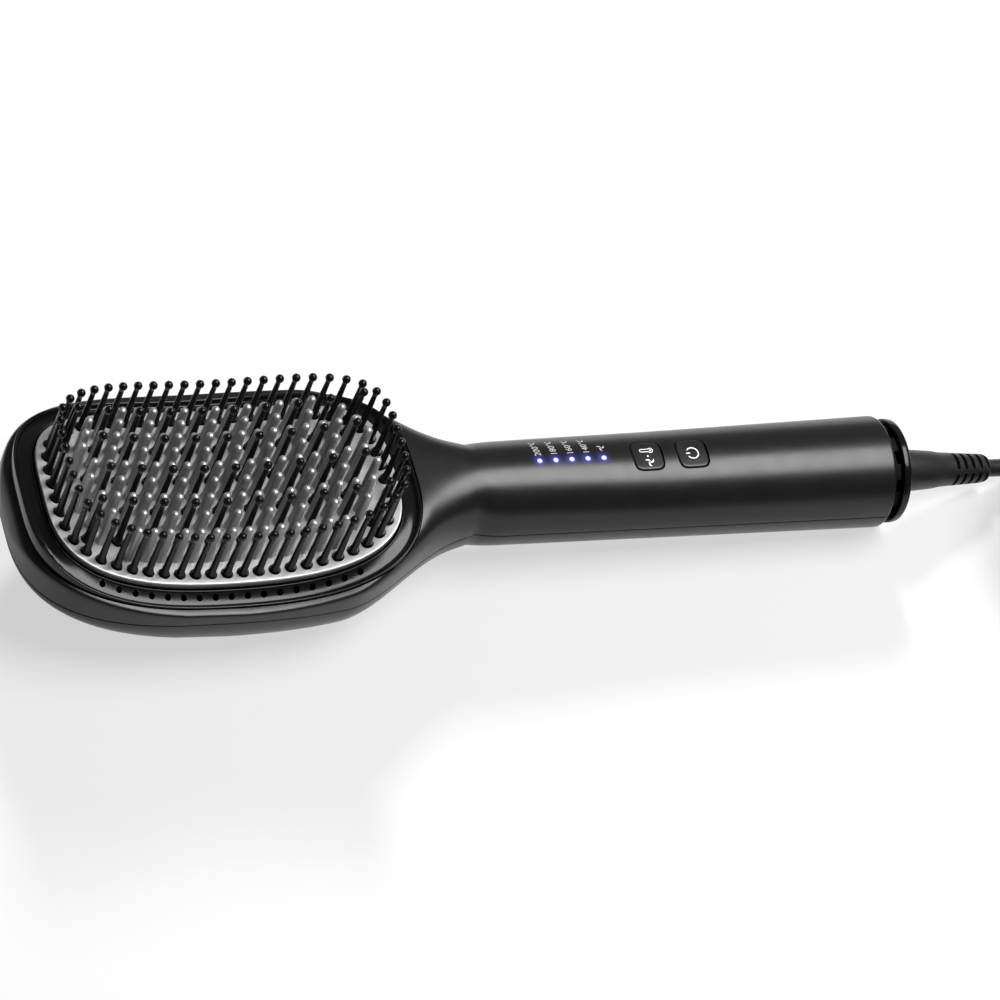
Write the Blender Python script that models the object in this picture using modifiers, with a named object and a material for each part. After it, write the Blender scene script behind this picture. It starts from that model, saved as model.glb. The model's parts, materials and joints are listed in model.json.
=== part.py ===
"""Hot air brush: a saddle-shaped brush head with a heated plate on a round handle.

The brush is modelled along X, from the head to the cord, with its origin on the handle's
axis below the middle of the plate. Z is the way the pins point. An empty then pitches it
so that it lies on its back, on the flat land of the head and the end of the handle.
All sizes are in metres.
"""

import math

import bmesh
import bpy
import numpy as np
from mathutils import Matrix, Vector

# Head
HEAD_HALF_LENGTH = 0.0636
HEAD_HALF_WIDTH = 0.0400
HEAD_OUTLINE_POWER = 2.9
HEAD_NECK_REACH = 0.0812
NECK_OUTLINE_POWER = 2.45
HEAD_SIDE_POWER = 14.0
HEAD_BACK_POWER = 2.4
FACE_TIP_POWER = 3.5
BACK_TIP_POWER = 1.65
HEAD_BACK_DEPTH = 0.0238
BACK_CURVE_RADIUS = 0.420
FACE_CURVE_RADIUS = 0.177
RIM_HEIGHT = 0.0046
REST_LAND_DEPTH = 0.0004

# Neck and handle
NECK_FROM_X = 0.0345
HANDLE_FROM_X = 0.0920
HANDLE_END_X = 0.2200
HANDLE_NECK_RADIUS = 0.0155
HANDLE_END_RADIUS = 0.01735
CREST_HEIGHT = 0.0013
CREST_END_X = 0.1500
END_EDGE_RADIUS = 0.0012
ROUND_POWER = 2.0

# Housing walls and fits
HEAD_WALL = 0.0040
HANDLE_WALL = 0.0021
BACK_WALL = 0.0024
FIT_GAP = 0.0003
OVERRUN = 0.0100

# Heating plate and its teeth
PLATE_HALF_LENGTH = 0.0550
PLATE_HALF_WIDTH = 0.0310
PLATE_OUTLINE_POWER = 3.4
PLATE_TOP = 0.0079
PLATE_THICKNESS = 0.0020
TOOTH_HEIGHT = 0.0140
TOOTH_ROOT_RADIUS = 0.0017
TOOTH_TIP_RADIUS = 0.0011
ROW_PITCH = 0.0054
COLUMN_PITCH = 0.00493
ROW_COUNTS = (14, 19, 18, 19, 18, 19, 18, 19, 14)
TIP_CROWN = 0.0038
CROWN_HALF_WIDTH = 0.0240
PIN_SIDES = 4

# Long pins and their carrier
EDGE_PIN_INSET = 0.0036
EDGE_PIN_PITCH = 0.0050
PIN_HEIGHT = 0.0204
PIN_ROOT_RADIUS = 0.0014
PIN_NECK_RADIUS = 0.0008
PIN_BALL_RADIUS = 0.00135
PIN_HOLE_GAP = 0.0005
CARRIER_INSET = 0.0009
CARRIER_THICKNESS = 0.0016
CARRIER_BOSS_RADIUS = 0.0031
ROOT_SINK = 0.0005

# Bezel ring between the plate and the housing
BEZEL_GAP = 0.0005
BEZEL_WIDTH = 0.0064
BEZEL_LEDGE = 0.0024
BEZEL_LEDGE_THICKNESS = 0.0014
BEZEL_LIP_TOP = 0.0058
BEZEL_LIP_WIDTH = 0.0006
VENT_SLOPE_TOP = 0.0053
VENT_SLOPE_FOOT = 0.0039
VENT_SLOPE_WIDTH = 0.0026
GUTTER_FLOOR = 0.0035
GUTTER_WIDTH = 0.0012
BEZEL_THICKNESS = 0.0022
VENT_RADIUS = 0.0010
VENT_PITCH = 0.0050
VENTS_A_SIDE = 17
VENT_ROW_SHIFT = 0.0016

# Heater and its guards
HEATER_LENGTH = 0.0240
HEATER_WIDTH = 0.0076
HEATER_THICKNESS = 0.0024
MICA_THICKNESS = 0.0004
MICA_MARGIN = 0.0010
CLAMP_THICKNESS = 0.0008
CLAMP_LEG = 0.0030
SLOT_MARGIN = 0.0008
FUSE_RADIUS = 0.0018
FUSE_LENGTH = 0.0110
THERMOSTAT_SIZE = (0.0100, 0.0060, 0.0032)
GUARD_OFFSET_Y = 0.0120
HEAD_SCREW_X = 0.0390
SHIELD_TIP_INSET = 0.0181
SHIELD_HALF_WIDTH = 0.0240
SHIELD_THICKNESS = 0.0012
SHIELD_TOP = -0.0075

# Screws
SCREW_SHANK_RADIUS = 0.0012
SCREW_HEAD_RADIUS = 0.0026
SCREW_HEAD_HEIGHT = 0.0017
SCREW_RECESS = 0.0030
SCREW_HOLE_RADIUS = 0.0016
SCREW_GRIP = 0.0070
BOSS_RADIUS = 0.0036
NECK_SCREW_X = 0.0880
HANDLE_SCREW_X = 0.1635

# Board, switches, lamps and buttons
BOARD_FROM_X = 0.0950
BOARD_TO_X = 0.1590
BOARD_WIDTH = 0.0200
BOARD_TOP = 0.0080
BOARD_THICKNESS = 0.0016
BOARD_RIB_INSET = 0.0050
BOARD_RIB_SIZE = (0.0024, 0.0140)
MODE_BUTTON_X = 0.1377
POWER_BUTTON_X = 0.1526
BUTTON_SIDE = 0.0098
BUTTON_CORNER = 0.0034
BUTTON_SINK = 0.0004
BUTTON_FLANGE = 0.0009
BUTTON_FLANGE_HEIGHT = 0.0010
BUTTON_TRAVEL = 0.0006
SWITCH_SIDE = 0.0060
SWITCH_HEIGHT = 0.0012
STEM_RADIUS = 0.0015
STEM_HEIGHT = 0.0006
STEM_PLAY = 0.0002
LAMP_COUNT = 5
LAMP_FROM_X = 0.10195
LAMP_PITCH = 0.00533
PEG_RADIUS = 0.0008
LED_SIZE = (0.0016, 0.0012, 0.0008)
GUIDE_BAR_WIDTH = 0.0036
GUIDE_BAR_HEIGHT = 0.0012
GUIDE_BAR_LIFT = 0.0006
GUIDE_BAR_MARGIN = 0.0015

# Fan in the handle
MOTOR_FROM_X = 0.1680
MOTOR_LENGTH = 0.0240
MOTOR_RADIUS = 0.0100
SHAFT_RADIUS = 0.0010
SHAFT_SEAT = 0.0060
HOLDER_LENGTH = 0.0060
HOLDER_WALL = 0.0013
HOLDER_SPOKES = 3
SPOKE_WIDTH = 0.0030
FAN_GAP = 0.0020
FAN_LENGTH = 0.0080
FAN_RADIUS = 0.0112
HUB_RADIUS = 0.0042
FAN_BLADES = 7
BLADE_THICKNESS = 0.0009
BLADE_TWIST = math.radians(38)

# Lane of the supply lead beside the motor
LEAD_LANE = math.radians(24)

# End of the handle and the cord swivel
RING_RADIUS = 0.0147
RING_WALL = 0.0017
RING_FROM_X = 0.2100
RING_NOTCHES = 10
NOTCH_WIDTH = 0.0042
NOTCH_DEPTH = 0.0046
CAP_FROM_X = 0.2216
CAP_THICKNESS = 0.0042
CAP_RADIUS = 0.0169
CAP_EDGE_RADIUS = 0.0012
CAP_BOSS_RADIUS = 0.0112
CAP_BOSS_LENGTH = 0.0100
BALL_X = 0.2180
BALL_RADIUS = 0.0085
CAP_MOUTH_RADIUS = 0.0077
RETAINER_THICKNESS = 0.0030
RETAINER_BORE_RADIUS = 0.0058
BOOT_NECK_RADIUS = 0.0055
BOOT_DIP = math.radians(11.5)
BOOT_SWING = math.radians(6.0)
BOOT_FROM = 0.0100
BOOT_ROOT_RADIUS = 0.0064
BOOT_WAIST = 0.0240
BOOT_WAIST_RADIUS = 0.0051
BOOT_LENGTH = 0.0415
BOOT_END_RADIUS = 0.0042
BOOT_NOTCHES = 5
BOOT_NOTCH_WIDTH = 0.0016
BOOT_CORE_RADIUS = 0.0031

# Cord, coil, tie and plug
CORD_DIAMETER = 0.0056
CORD_STRAIGHT = 0.0056
LEAD_REACH = 0.0410
COIL_MEAN_RADIUS = 0.0329
COIL_TURN_PITCH = 0.0062
COIL_LAYER_PITCH = 0.0062
COIL_LAYERS = 4
COIL_TURNS_A_LAYER = 1.9676
COIL_RISE_TURNS = 0.5
COIL_POINTS_A_TURN = 24
TIE_THICKNESS = 0.0006
TIE_WIDTH = 0.0050
TAIL_BEND_RADIUS = 0.0270
TAIL_SWEEP = math.radians(125)
TAIL_STATIONS = 12
PLUG_LENGTH = 0.0370
PLUG_WIDTH = 0.0340
PLUG_HEIGHT = 0.0136
PLUG_NOSE_WIDTH = 0.0110
PLUG_CORNER_SHARE = 0.3
PLUG_OUTLINE_SHARES = ((0.0, 0.0), (0.25, 0.12), (0.6, 0.75), (0.8, 1.0), (1.0, 1.0))
PLUG_PIN_RADIUS = 0.0020
PLUG_PIN_LENGTH = 0.0190
PLUG_PIN_SPACING = 0.0186

# Counts of faces and stations, which set how fine the solids are
ARC_POINTS = 13
TURN_STEPS = 20
SMALL_STEPS = 10
TIP_ANGLES = tuple(math.radians(a) for a in (87, 80, 70, 57, 42, 26, 10))
NECK_STATIONS = 12
OVAL_STATIONS = 9
BEZEL_STATIONS = 44

SEEN = bpy.data.collections.new("hot_air_brush")
CUTTERS = bpy.data.collections.new("cutters")


# Scene, materials and small helpers


def clear_scene():
    """Remove every object, and link the two collections."""
    for obj in list(bpy.data.objects):
        bpy.data.objects.remove(obj)
    bpy.context.scene.collection.children.link(SEEN)
    bpy.context.scene.collection.children.link(CUTTERS)


def material(name, colour, roughness, metallic=0.0, glow=0.0):
    """A Principled material with the piece's own colour."""
    made = bpy.data.materials.new(name)
    made.use_nodes = True
    shader = made.node_tree.nodes["Principled BSDF"]
    shader.inputs["Base Color"].default_value = (*colour, 1)
    shader.inputs["Roughness"].default_value = roughness
    shader.inputs["Metallic"].default_value = metallic
    shader.inputs["Emission Color"].default_value = (*colour, 1)
    shader.inputs["Emission Strength"].default_value = glow
    return made


def add_object(name, mesh, parent, look=None, location=(0, 0, 0), rotation=(0, 0, 0)):
    """Link a mesh as a visible piece, or as a cutter when it has no look."""
    obj = bpy.data.objects.new(name, mesh)
    obj.location = location
    obj.rotation_euler = rotation
    obj.parent = parent
    if look is None:
        CUTTERS.objects.link(obj)
        obj.hide_render = True
        obj.display_type = "WIRE"
    else:
        SEEN.objects.link(obj)
        mesh.materials.append(material(name, *look))
    return obj


def boolean(obj, other, operation):
    """Cut a helper from a piece, or join it on."""
    step = obj.modifiers.new(other.name, "BOOLEAN")
    step.object = other
    step.operation = operation


def cut(obj, *cutters):
    """Cut each helper from the piece."""
    for cutter in cutters:
        boolean(obj, cutter, "DIFFERENCE")


def fuse(obj, *others):
    """Join each helper onto the piece."""
    for other in others:
        boolean(obj, other, "UNION")


def mesh_from(name, work):
    """Turn a bmesh into a mesh with its faces out."""
    bmesh.ops.recalc_face_normals(work, faces=work.faces)
    mesh = bpy.data.meshes.new(name)
    work.to_mesh(mesh)
    work.free()
    return mesh


def smooth(obj):
    """Shade a round piece smooth and keep its corners sharp."""
    obj.data.shade_smooth()
    obj.data.set_sharp_from_angle(angle=math.radians(35))
    return obj


# Shapes


def box_mesh(name, size, centre=(0, 0, 0), corner=0.0):
    """A box about a centre, with its upright edges rounded by the corner radius."""
    work = bmesh.new()
    bmesh.ops.create_cube(work, size=1)
    bmesh.ops.scale(work, vec=size, verts=work.verts)
    if corner:
        upright = [e for e in work.edges if abs(e.verts[0].co.z - e.verts[1].co.z) > size[2] / 2]
        bmesh.ops.bevel(work, geom=upright, offset=corner, segments=3, profile=0.5, affect="EDGES")
    bmesh.ops.translate(work, vec=centre, verts=work.verts)
    return mesh_from(name, work)


def rod_mesh(name, radius, length, centre=(0, 0, 0), axis="Z", steps=SMALL_STEPS, end_radius=None):
    """A rod, or a cone, about a centre and along one axis."""
    work = bmesh.new()
    tip = radius if end_radius is None else end_radius
    bmesh.ops.create_cone(
        work, cap_ends=True, segments=steps, radius1=radius, radius2=tip, depth=length
    )
    if axis == "X":
        turn = Vector((0, 0, 1)).rotation_difference(Vector((1, 0, 0))).to_matrix()
        bmesh.ops.rotate(work, matrix=turn, verts=work.verts)
    bmesh.ops.translate(work, vec=centre, verts=work.verts)
    return mesh_from(name, work)


def turned(name, profile, parent, look=None, location=(0, 0, 0), rotation=(0, 0, 0), steps=TURN_STEPS):
    """A profile of (place along X, radius) turned about X.

    The profile runs from the far end to the near one, so that the faces point out. A closed
    profile, which starts and ends at one point, gives a ring.
    """
    points = [(along, radius, 0.0) for along, radius in profile]
    closed = points[0] == points[-1]
    if closed:
        points = points[:-1]
    edges = [(i, i + 1) for i in range(len(points) - 1)]
    if closed:
        edges.append((len(points) - 1, 0))
    mesh = bpy.data.meshes.new(name)
    mesh.from_pydata(points, edges, [])
    obj = add_object(name, mesh, parent, look, location, rotation)
    screw = obj.modifiers.new("turn", "SCREW")
    screw.axis = "X"
    screw.steps = steps
    screw.render_steps = steps
    screw.use_merge_vertices = True
    screw.merge_threshold = 0.00001
    screw.use_smooth_shade = True
    return obj


def loft_mesh(name, rings, closed=False):
    """Faces through equal rings of points, with flat end caps or joined end to end."""
    work = bmesh.new()
    rows = [[work.verts.new(point) for point in ring] for ring in rings]
    pairs = list(zip(rows, rows[1:]))
    if closed:
        pairs.append((rows[-1], rows[0]))
    for one, two in pairs:
        for i in range(len(one)):
            j = (i + 1) % len(one)
            work.faces.new((one[i], one[j], two[j], two[i]))
    if not closed:
        work.faces.new(rows[0])
        work.faces.new(rows[-1])
    return mesh_from(name, work)


def strands_mesh(name, places, profile):
    """One upright strand at each place, joined in one mesh of separate closed strands.

    The profile is (height above the place, radius) pairs, from the root to the tip. A
    place is (x, y, z, rise), and what stands above the place is raised by the rise.
    """
    work = bmesh.new()
    turns = [math.tau * (k + 0.5) / PIN_SIDES for k in range(PIN_SIDES)]
    for x, y, z, rise in places:
        rows = []
        for height, r in profile:
            h = z + height + (rise if height > 0 else 0)
            ring = [(x + r * math.cos(a), y + r * math.sin(a), h) for a in turns]
            rows.append([work.verts.new(point) for point in ring])
        for one, two in zip(rows, rows[1:]):
            for i in range(PIN_SIDES):
                j = (i + 1) % PIN_SIDES
                work.faces.new((one[i], one[j], two[j], two[i]))
        work.faces.new(rows[0])
        work.faces.new(rows[-1])
    return mesh_from(name, work)


def tube(name, points, radius, parent, look, resolution):
    """A round tube along a path, as a curve with filled caps."""
    curve = bpy.data.curves.new(name, "CURVE")
    curve.dimensions = "3D"
    curve.bevel_depth = radius
    curve.bevel_resolution = resolution
    curve.use_fill_caps = True
    spline = curve.splines.new("POLY")
    spline.points.add(len(points) - 1)
    for point, place in zip(spline.points, points):
        point.co = (*place, 1)
    obj = bpy.data.objects.new(name, curve)
    obj.parent = parent
    SEEN.objects.link(obj)
    curve.materials.append(material(name, *look))
    return obj


# The form of the housing


def ease(share):
    """A smooth step from 0 to 1."""
    s = min(max(share, 0.0), 1.0)
    return s * s * (3 - 2 * s)


def sag(x, radius=FACE_CURVE_RADIUS):
    """How far a lengthwise arc has risen at x from its lowest place at the head's middle."""
    return radius - math.sqrt(radius**2 - x**2)


def face_sag(x):
    """The rise of the brush face, which stops growing where the bezel ends."""
    reach = PLATE_HALF_LENGTH + BEZEL_WIDTH
    return sag(min(abs(x), reach))


def neck_share(x):
    """0 in the head, 1 in the handle."""
    return ease((x - NECK_FROM_X) / (HANDLE_FROM_X - NECK_FROM_X))


def handle_radius(x):
    """The handle's radius, which grows evenly towards its end."""
    share = (x - HANDLE_FROM_X) / (HANDLE_END_X - HANDLE_FROM_X)
    return HANDLE_NECK_RADIUS + (HANDLE_END_RADIUS - HANDLE_NECK_RADIUS) * max(share, 0.0)


def oval(x, half_length, power):
    """The share of its full size that an oval with this half length has at x."""
    share = min(abs(x) / half_length, 1.0)
    return (1 - share**power) ** (1 / power)


def half_width(x, inset=0.0):
    """Half the housing's width at x, less the inset."""
    reach, power = HEAD_NECK_REACH, NECK_OUTLINE_POWER
    if x < 0:
        reach, power = HEAD_HALF_LENGTH, HEAD_OUTLINE_POWER
    head = (HEAD_HALF_WIDTH - inset) * oval(x, reach - inset, power)
    share = neck_share(x)
    return head * (1 - share) + (handle_radius(x) - inset) * share


def top_height(x, inset=0.0):
    """The housing's top line above the handle's axis, less the inset."""
    rise = 1.0 if x >= 0 else oval(x, HEAD_HALF_LENGTH - inset, FACE_TIP_POWER)
    head = (RIM_HEIGHT + face_sag(x)) * rise - inset * rise
    crest = CREST_HEIGHT * (1 - ease((x - HANDLE_FROM_X) / (CREST_END_X - HANDLE_FROM_X)))
    share = neck_share(x)
    return head * (1 - share) + (handle_radius(x) + crest - inset) * share


def back_depth(x, inset=0.0):
    """The housing's bottom line below the handle's axis, less the inset."""
    rise = 1.0 if x >= 0 else oval(x, HEAD_HALF_LENGTH - inset, BACK_TIP_POWER)
    head = (HEAD_BACK_DEPTH - inset - sag(min(abs(x), HEAD_HALF_LENGTH), BACK_CURVE_RADIUS)) * rise
    share = neck_share(x)
    return head * (1 - share) + (handle_radius(x) - inset) * share


def arc(x, width, height, head_power, sign, base):
    """Half a section at x, from +Y over the top or bottom to -Y, with its flat on the base."""
    share = neck_share(x)
    power = 1 / ((1 - share) / head_power + share / ROUND_POWER)
    points = []
    for k in range(ARC_POINTS):
        angle = math.pi * k / (ARC_POINTS - 1)
        across = math.copysign(abs(math.cos(angle)) ** (2 / power), math.cos(angle))
        up = math.sin(angle) ** (2 / power) if 0 < k < ARC_POINTS - 1 else 0.0
        points.append((x, width * across, base + sign * (height - abs(base)) * up))
    return points


def outer_stations():
    """Places along X and end insets of the outer form, close together at the rounded ends."""
    tip = [-HEAD_HALF_LENGTH * math.sin(a) ** (2 / HEAD_OUTLINE_POWER) for a in TIP_ANGLES]
    neck = [HANDLE_FROM_X * k / NECK_STATIONS for k in range(NECK_STATIONS + 1)]
    rest = [(HANDLE_FROM_X + CREST_END_X) / 2, CREST_END_X, HANDLE_END_X - END_EDGE_RADIUS]
    stations = [(x, 0.0) for x in tip + neck + rest]
    bevel = END_EDGE_RADIUS * (1 - math.sqrt(0.5))
    stations.append((HANDLE_END_X - bevel, bevel))
    stations.append((HANDLE_END_X, END_EDGE_RADIUS))
    return stations


def outer_half(name, sign):
    """The upper (+1) or lower (-1) half of the outer form, as a closed solid."""
    base = sign * FIT_GAP / 2
    power = HEAD_SIDE_POWER if sign > 0 else HEAD_BACK_POWER
    height = top_height if sign > 0 else back_depth
    rings = []
    for x, inset in outer_stations():
        rings.append(arc(x, half_width(x) - inset, height(x) - inset, power, sign, base))
    return loft_mesh(name, rings)


def inner_form(name):
    """The hollow of the housing, as a closed solid that runs out of the handle's end."""
    tip = [-(HEAD_HALF_LENGTH - HEAD_WALL) * math.sin(a) ** (2 / HEAD_OUTLINE_POWER) for a in TIP_ANGLES]
    neck = [HANDLE_FROM_X * k / NECK_STATIONS for k in range(NECK_STATIONS + 1)]
    rings = []
    for x in tip[1:] + neck + [CREST_END_X, HANDLE_END_X, HANDLE_END_X + OVERRUN]:
        share = neck_share(x)
        side = HEAD_WALL + (HANDLE_WALL - HEAD_WALL) * share
        floor = BACK_WALL + (HANDLE_WALL - BACK_WALL) * share
        upper = arc(x, half_width(x, side), top_height(x, HANDLE_WALL), HEAD_SIDE_POWER, 1, 0.0)
        lower = arc(x, half_width(x, side), back_depth(x, floor), HEAD_BACK_POWER, -1, 0.0)
        rings.append(upper + lower[::-1][1:-1])
    return loft_mesh(name, rings)


# Ovals of the brush face


def oval_edge(angle, offset):
    """A point of the plate's outline, moved out square to it by the offset."""
    power = PLATE_OUTLINE_POWER
    c, s = math.cos(angle), math.sin(angle)
    x = PLATE_HALF_LENGTH * math.copysign(abs(c) ** (2 / power), c)
    y = PLATE_HALF_WIDTH * math.copysign(abs(s) ** (2 / power), s)
    slope_x = math.copysign(abs(x / PLATE_HALF_LENGTH) ** (power - 1), x) / PLATE_HALF_LENGTH
    slope_y = math.copysign(abs(y / PLATE_HALF_WIDTH) ** (power - 1), y) / PLATE_HALF_WIDTH
    length = math.hypot(slope_x, slope_y)
    return x + offset * slope_x / length, y + offset * slope_y / length


def oval_slab(name, offset, low, high):
    """A slab with the plate's outline, offset, that follows the saddle from low to high."""
    angles = [math.pi / 2 * (k + 0.25) / (OVAL_STATIONS + 0.25) for k in range(OVAL_STATIONS)]
    half = [oval_edge(a, offset) for a in angles] + [oval_edge(math.pi / 2, offset)]
    stations = half + [(-x, w) for x, w in half[-2::-1]]
    rings = []
    for x, w in stations:
        rise = face_sag(x)
        rings.append([(x, w, high + rise), (x, -w, high + rise), (x, -w, low + rise), (x, w, low + rise)])
    return loft_mesh(name, rings)


def even_angles(offset, count):
    """Angles that part the offset oval in equal lengths, the first one at the handle's end."""
    fine = np.linspace(0, math.tau, 2881)
    points = np.array([oval_edge(a, offset) for a in fine])
    steps = np.hypot(*np.diff(points, axis=0).T)
    length = np.concatenate([[0.0], np.cumsum(steps)])
    places = (np.arange(count) + 0.5) * length[-1] / count
    return np.interp(places, length, fine), length[-1]


def bezel_mesh():
    """The ring between plate and housing: a section swept round the offset oval."""
    ledge_top = PLATE_TOP - PLATE_THICKNESS - CARRIER_THICKNESS - 2 * FIT_GAP
    rim = RIM_HEIGHT + FIT_GAP
    lip = BEZEL_GAP + BEZEL_LIP_WIDTH
    foot = lip + VENT_SLOPE_WIDTH
    under = GUTTER_FLOOR - BEZEL_THICKNESS
    section = [
        (-BEZEL_LEDGE, ledge_top - BEZEL_LEDGE_THICKNESS),
        (-BEZEL_LEDGE, ledge_top),
        (BEZEL_GAP, ledge_top),
        (BEZEL_GAP, BEZEL_LIP_TOP),
        (lip, BEZEL_LIP_TOP),
        (lip, VENT_SLOPE_TOP),
        (foot, VENT_SLOPE_FOOT),
        (foot + GUTTER_WIDTH, GUTTER_FLOOR),
        (BEZEL_WIDTH - BEZEL_LIP_WIDTH, rim),
        (BEZEL_WIDTH, rim),
        (BEZEL_WIDTH, under),
        (lip, under),
    ]
    angles, _ = even_angles(BEZEL_WIDTH, BEZEL_STATIONS)
    rings = []
    for angle in angles:
        ring = []
        for offset, z in section:
            x, y = oval_edge(angle, offset)
            ring.append((x, y, z + face_sag(x)))
        rings.append(ring)
    return loft_mesh("air_outlet_bezel", rings, closed=True)


def vent_cutters():
    """Both rows of air holes, as one mesh of separate rods."""
    places = []
    offset = BEZEL_GAP + BEZEL_LIP_WIDTH + VENT_SLOPE_WIDTH / 2
    for k in range(VENTS_A_SIDE):
        x = (k - (VENTS_A_SIDE - 1) / 2) * VENT_PITCH - VENT_ROW_SHIFT
        y = PLATE_HALF_WIDTH * oval(x, PLATE_HALF_LENGTH, PLATE_OUTLINE_POWER) + offset
        places += [(x, y, face_sag(x), 0), (x, -y, face_sag(x), 0)]
    profile = [(-OVERRUN, VENT_RADIUS), (OVERRUN, VENT_RADIUS)]
    return strands_mesh("vent_cutters", places, profile)


def tooth_places():
    """(silver teeth, long pins of the field), in staggered rows.

    Every second row mixes both kinds, and two such rows on one side are out of step.
    """
    teeth, pins = [], []
    middle = len(ROW_COUNTS) // 2
    for row, count in enumerate(ROW_COUNTS):
        y = (row - middle) * ROW_PITCH
        step = abs(row - middle) // 2
        for column in range(count):
            x = (column - (count - 1) / 2) * COLUMN_PITCH
            is_pin = row % 2 == 1 and (column + step) % 2 == 1
            (pins if is_pin else teeth).append((x, y))
    return teeth, pins


def tip_rise(y):
    """How much the tips in the middle of the brush stand above those beside the edge."""
    return TIP_CROWN * max(1 - (y / CROWN_HALF_WIDTH) ** 2, 0)


def edge_pin_places():
    """The long pins that stand in a closed row along the plate's edge."""
    _, length = even_angles(-EDGE_PIN_INSET, 1)
    angles, _ = even_angles(-EDGE_PIN_INSET, 2 * round(length / EDGE_PIN_PITCH / 2))
    return [oval_edge(a, -EDGE_PIN_INSET) for a in angles]


# Rest pose


def rest_pitch():
    """The pitch at which the land on the back and the end of the handle lie on one plane.

    With t the tangent of the pitch, the back's arc touches at -depth - R t^2 / 2 and the
    handle's end at -radius - x t, which gives a quadratic in t.
    """
    end_x = HANDLE_END_X - END_EDGE_RADIUS
    drop = HEAD_BACK_DEPTH - REST_LAND_DEPTH - handle_radius(end_x)
    tangent = (end_x - math.sqrt(end_x**2 - 2 * BACK_CURVE_RADIUS * drop)) / BACK_CURVE_RADIUS
    return math.atan(tangent)


def boot_direction():
    """The cord boot's direction in the brush's own frame."""
    flat = math.cos(BOOT_DIP)
    return Vector((flat * math.cos(BOOT_SWING), flat * math.sin(BOOT_SWING), -math.sin(BOOT_DIP)))


def place_root():
    """The empty that carries the brush, with the box of the brush centred on the origin."""
    root = bpy.data.objects.new("brush_at_rest", None)
    SEEN.objects.link(root)
    pitch = rest_pitch()
    end_x = HANDLE_END_X - END_EDGE_RADIUS
    root.rotation_euler = (0, pitch, 0)
    height = handle_radius(end_x) * math.cos(pitch) + end_x * math.sin(pitch)
    tip_x = HEAD_HALF_LENGTH * math.sin(TIP_ANGLES[0]) ** (2 / HEAD_OUTLINE_POWER)
    tip_z = oval(tip_x, HEAD_HALF_LENGTH, BACK_TIP_POWER) * (
        HEAD_BACK_DEPTH - sag(tip_x, BACK_CURVE_RADIUS)
    )
    low_x = -tip_x * math.cos(pitch) - tip_z * math.sin(pitch)
    along = boot_direction()
    end = Vector((BALL_X, 0, 0)) + BOOT_LENGTH * along
    rim = BOOT_END_RADIUS * math.sin(BOOT_DIP + pitch)
    high_x = end.x * math.cos(pitch) + end.z * math.sin(pitch) + rim
    root.location = (-(low_x + high_x) / 2, 0, height)
    bpy.context.view_layer.update()
    return root


# Housing


def screw_post(name, x, low, high, radius, root):
    """A post for a screw, as a helper to join."""
    mesh = rod_mesh(name, radius, high - low, (x, 0, (low + high) / 2))
    return add_object(name, mesh, root)


def button_spaces(root):
    """Cutters for the two button holes."""
    side = BUTTON_SIDE + 2 * FIT_GAP
    corner = BUTTON_CORNER + FIT_GAP
    for name, x in (("mode_button_hole", MODE_BUTTON_X), ("power_button_hole", POWER_BUTTON_X)):
        centre = (x, 0, BOARD_TOP + HANDLE_END_RADIUS)
        size = (side, side, 2 * HANDLE_END_RADIUS)
        yield add_object(name, box_mesh(name, size, centre, corner), root)


def lamp_places():
    """Places of the lamps along X."""
    return [LAMP_FROM_X + k * LAMP_PITCH for k in range(LAMP_COUNT)]


def top_shell(root):
    """The upper half of the housing, open for the bezel, the buttons and the lamps."""
    look = ((0.012, 0.012, 0.013), 0.45)
    shell = add_object("top_shell", outer_half("top_shell", 1), root, look)
    hollow = add_object("top_hollow", inner_form("top_hollow"), root)
    floor = GUTTER_FLOOR - BEZEL_THICKNESS - FIT_GAP
    pocket = oval_slab("bezel_pocket", BEZEL_WIDTH + FIT_GAP, floor, floor + 2 * OVERRUN)
    cut(shell, hollow, add_object("bezel_pocket", pocket, root))
    for x in (NECK_SCREW_X, HANDLE_SCREW_X):
        roof = top_height(x, HANDLE_WALL) + HANDLE_WALL / 2
        post = screw_post(f"upper_post_{x:.3f}", x, FIT_GAP / 2, roof, BOSS_RADIUS, root)
        fuse(shell, post)
        pilot = SCREW_GRIP + SCREW_RECESS
        cut(shell, screw_post(f"pilot_{x:.3f}", x, -pilot, pilot, SCREW_HOLE_RADIUS, root))
    cut(shell, *button_spaces(root))
    places = [(x, 0, BOARD_TOP, 0) for x in lamp_places()]
    hole = PEG_RADIUS + FIT_GAP * math.sqrt(2)
    pegs = strands_mesh("lamp_holes", places, [(0, hole), (HANDLE_END_RADIUS, hole)])
    cut(shell, add_object("lamp_holes", pegs, root))
    return smooth(shell)


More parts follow.
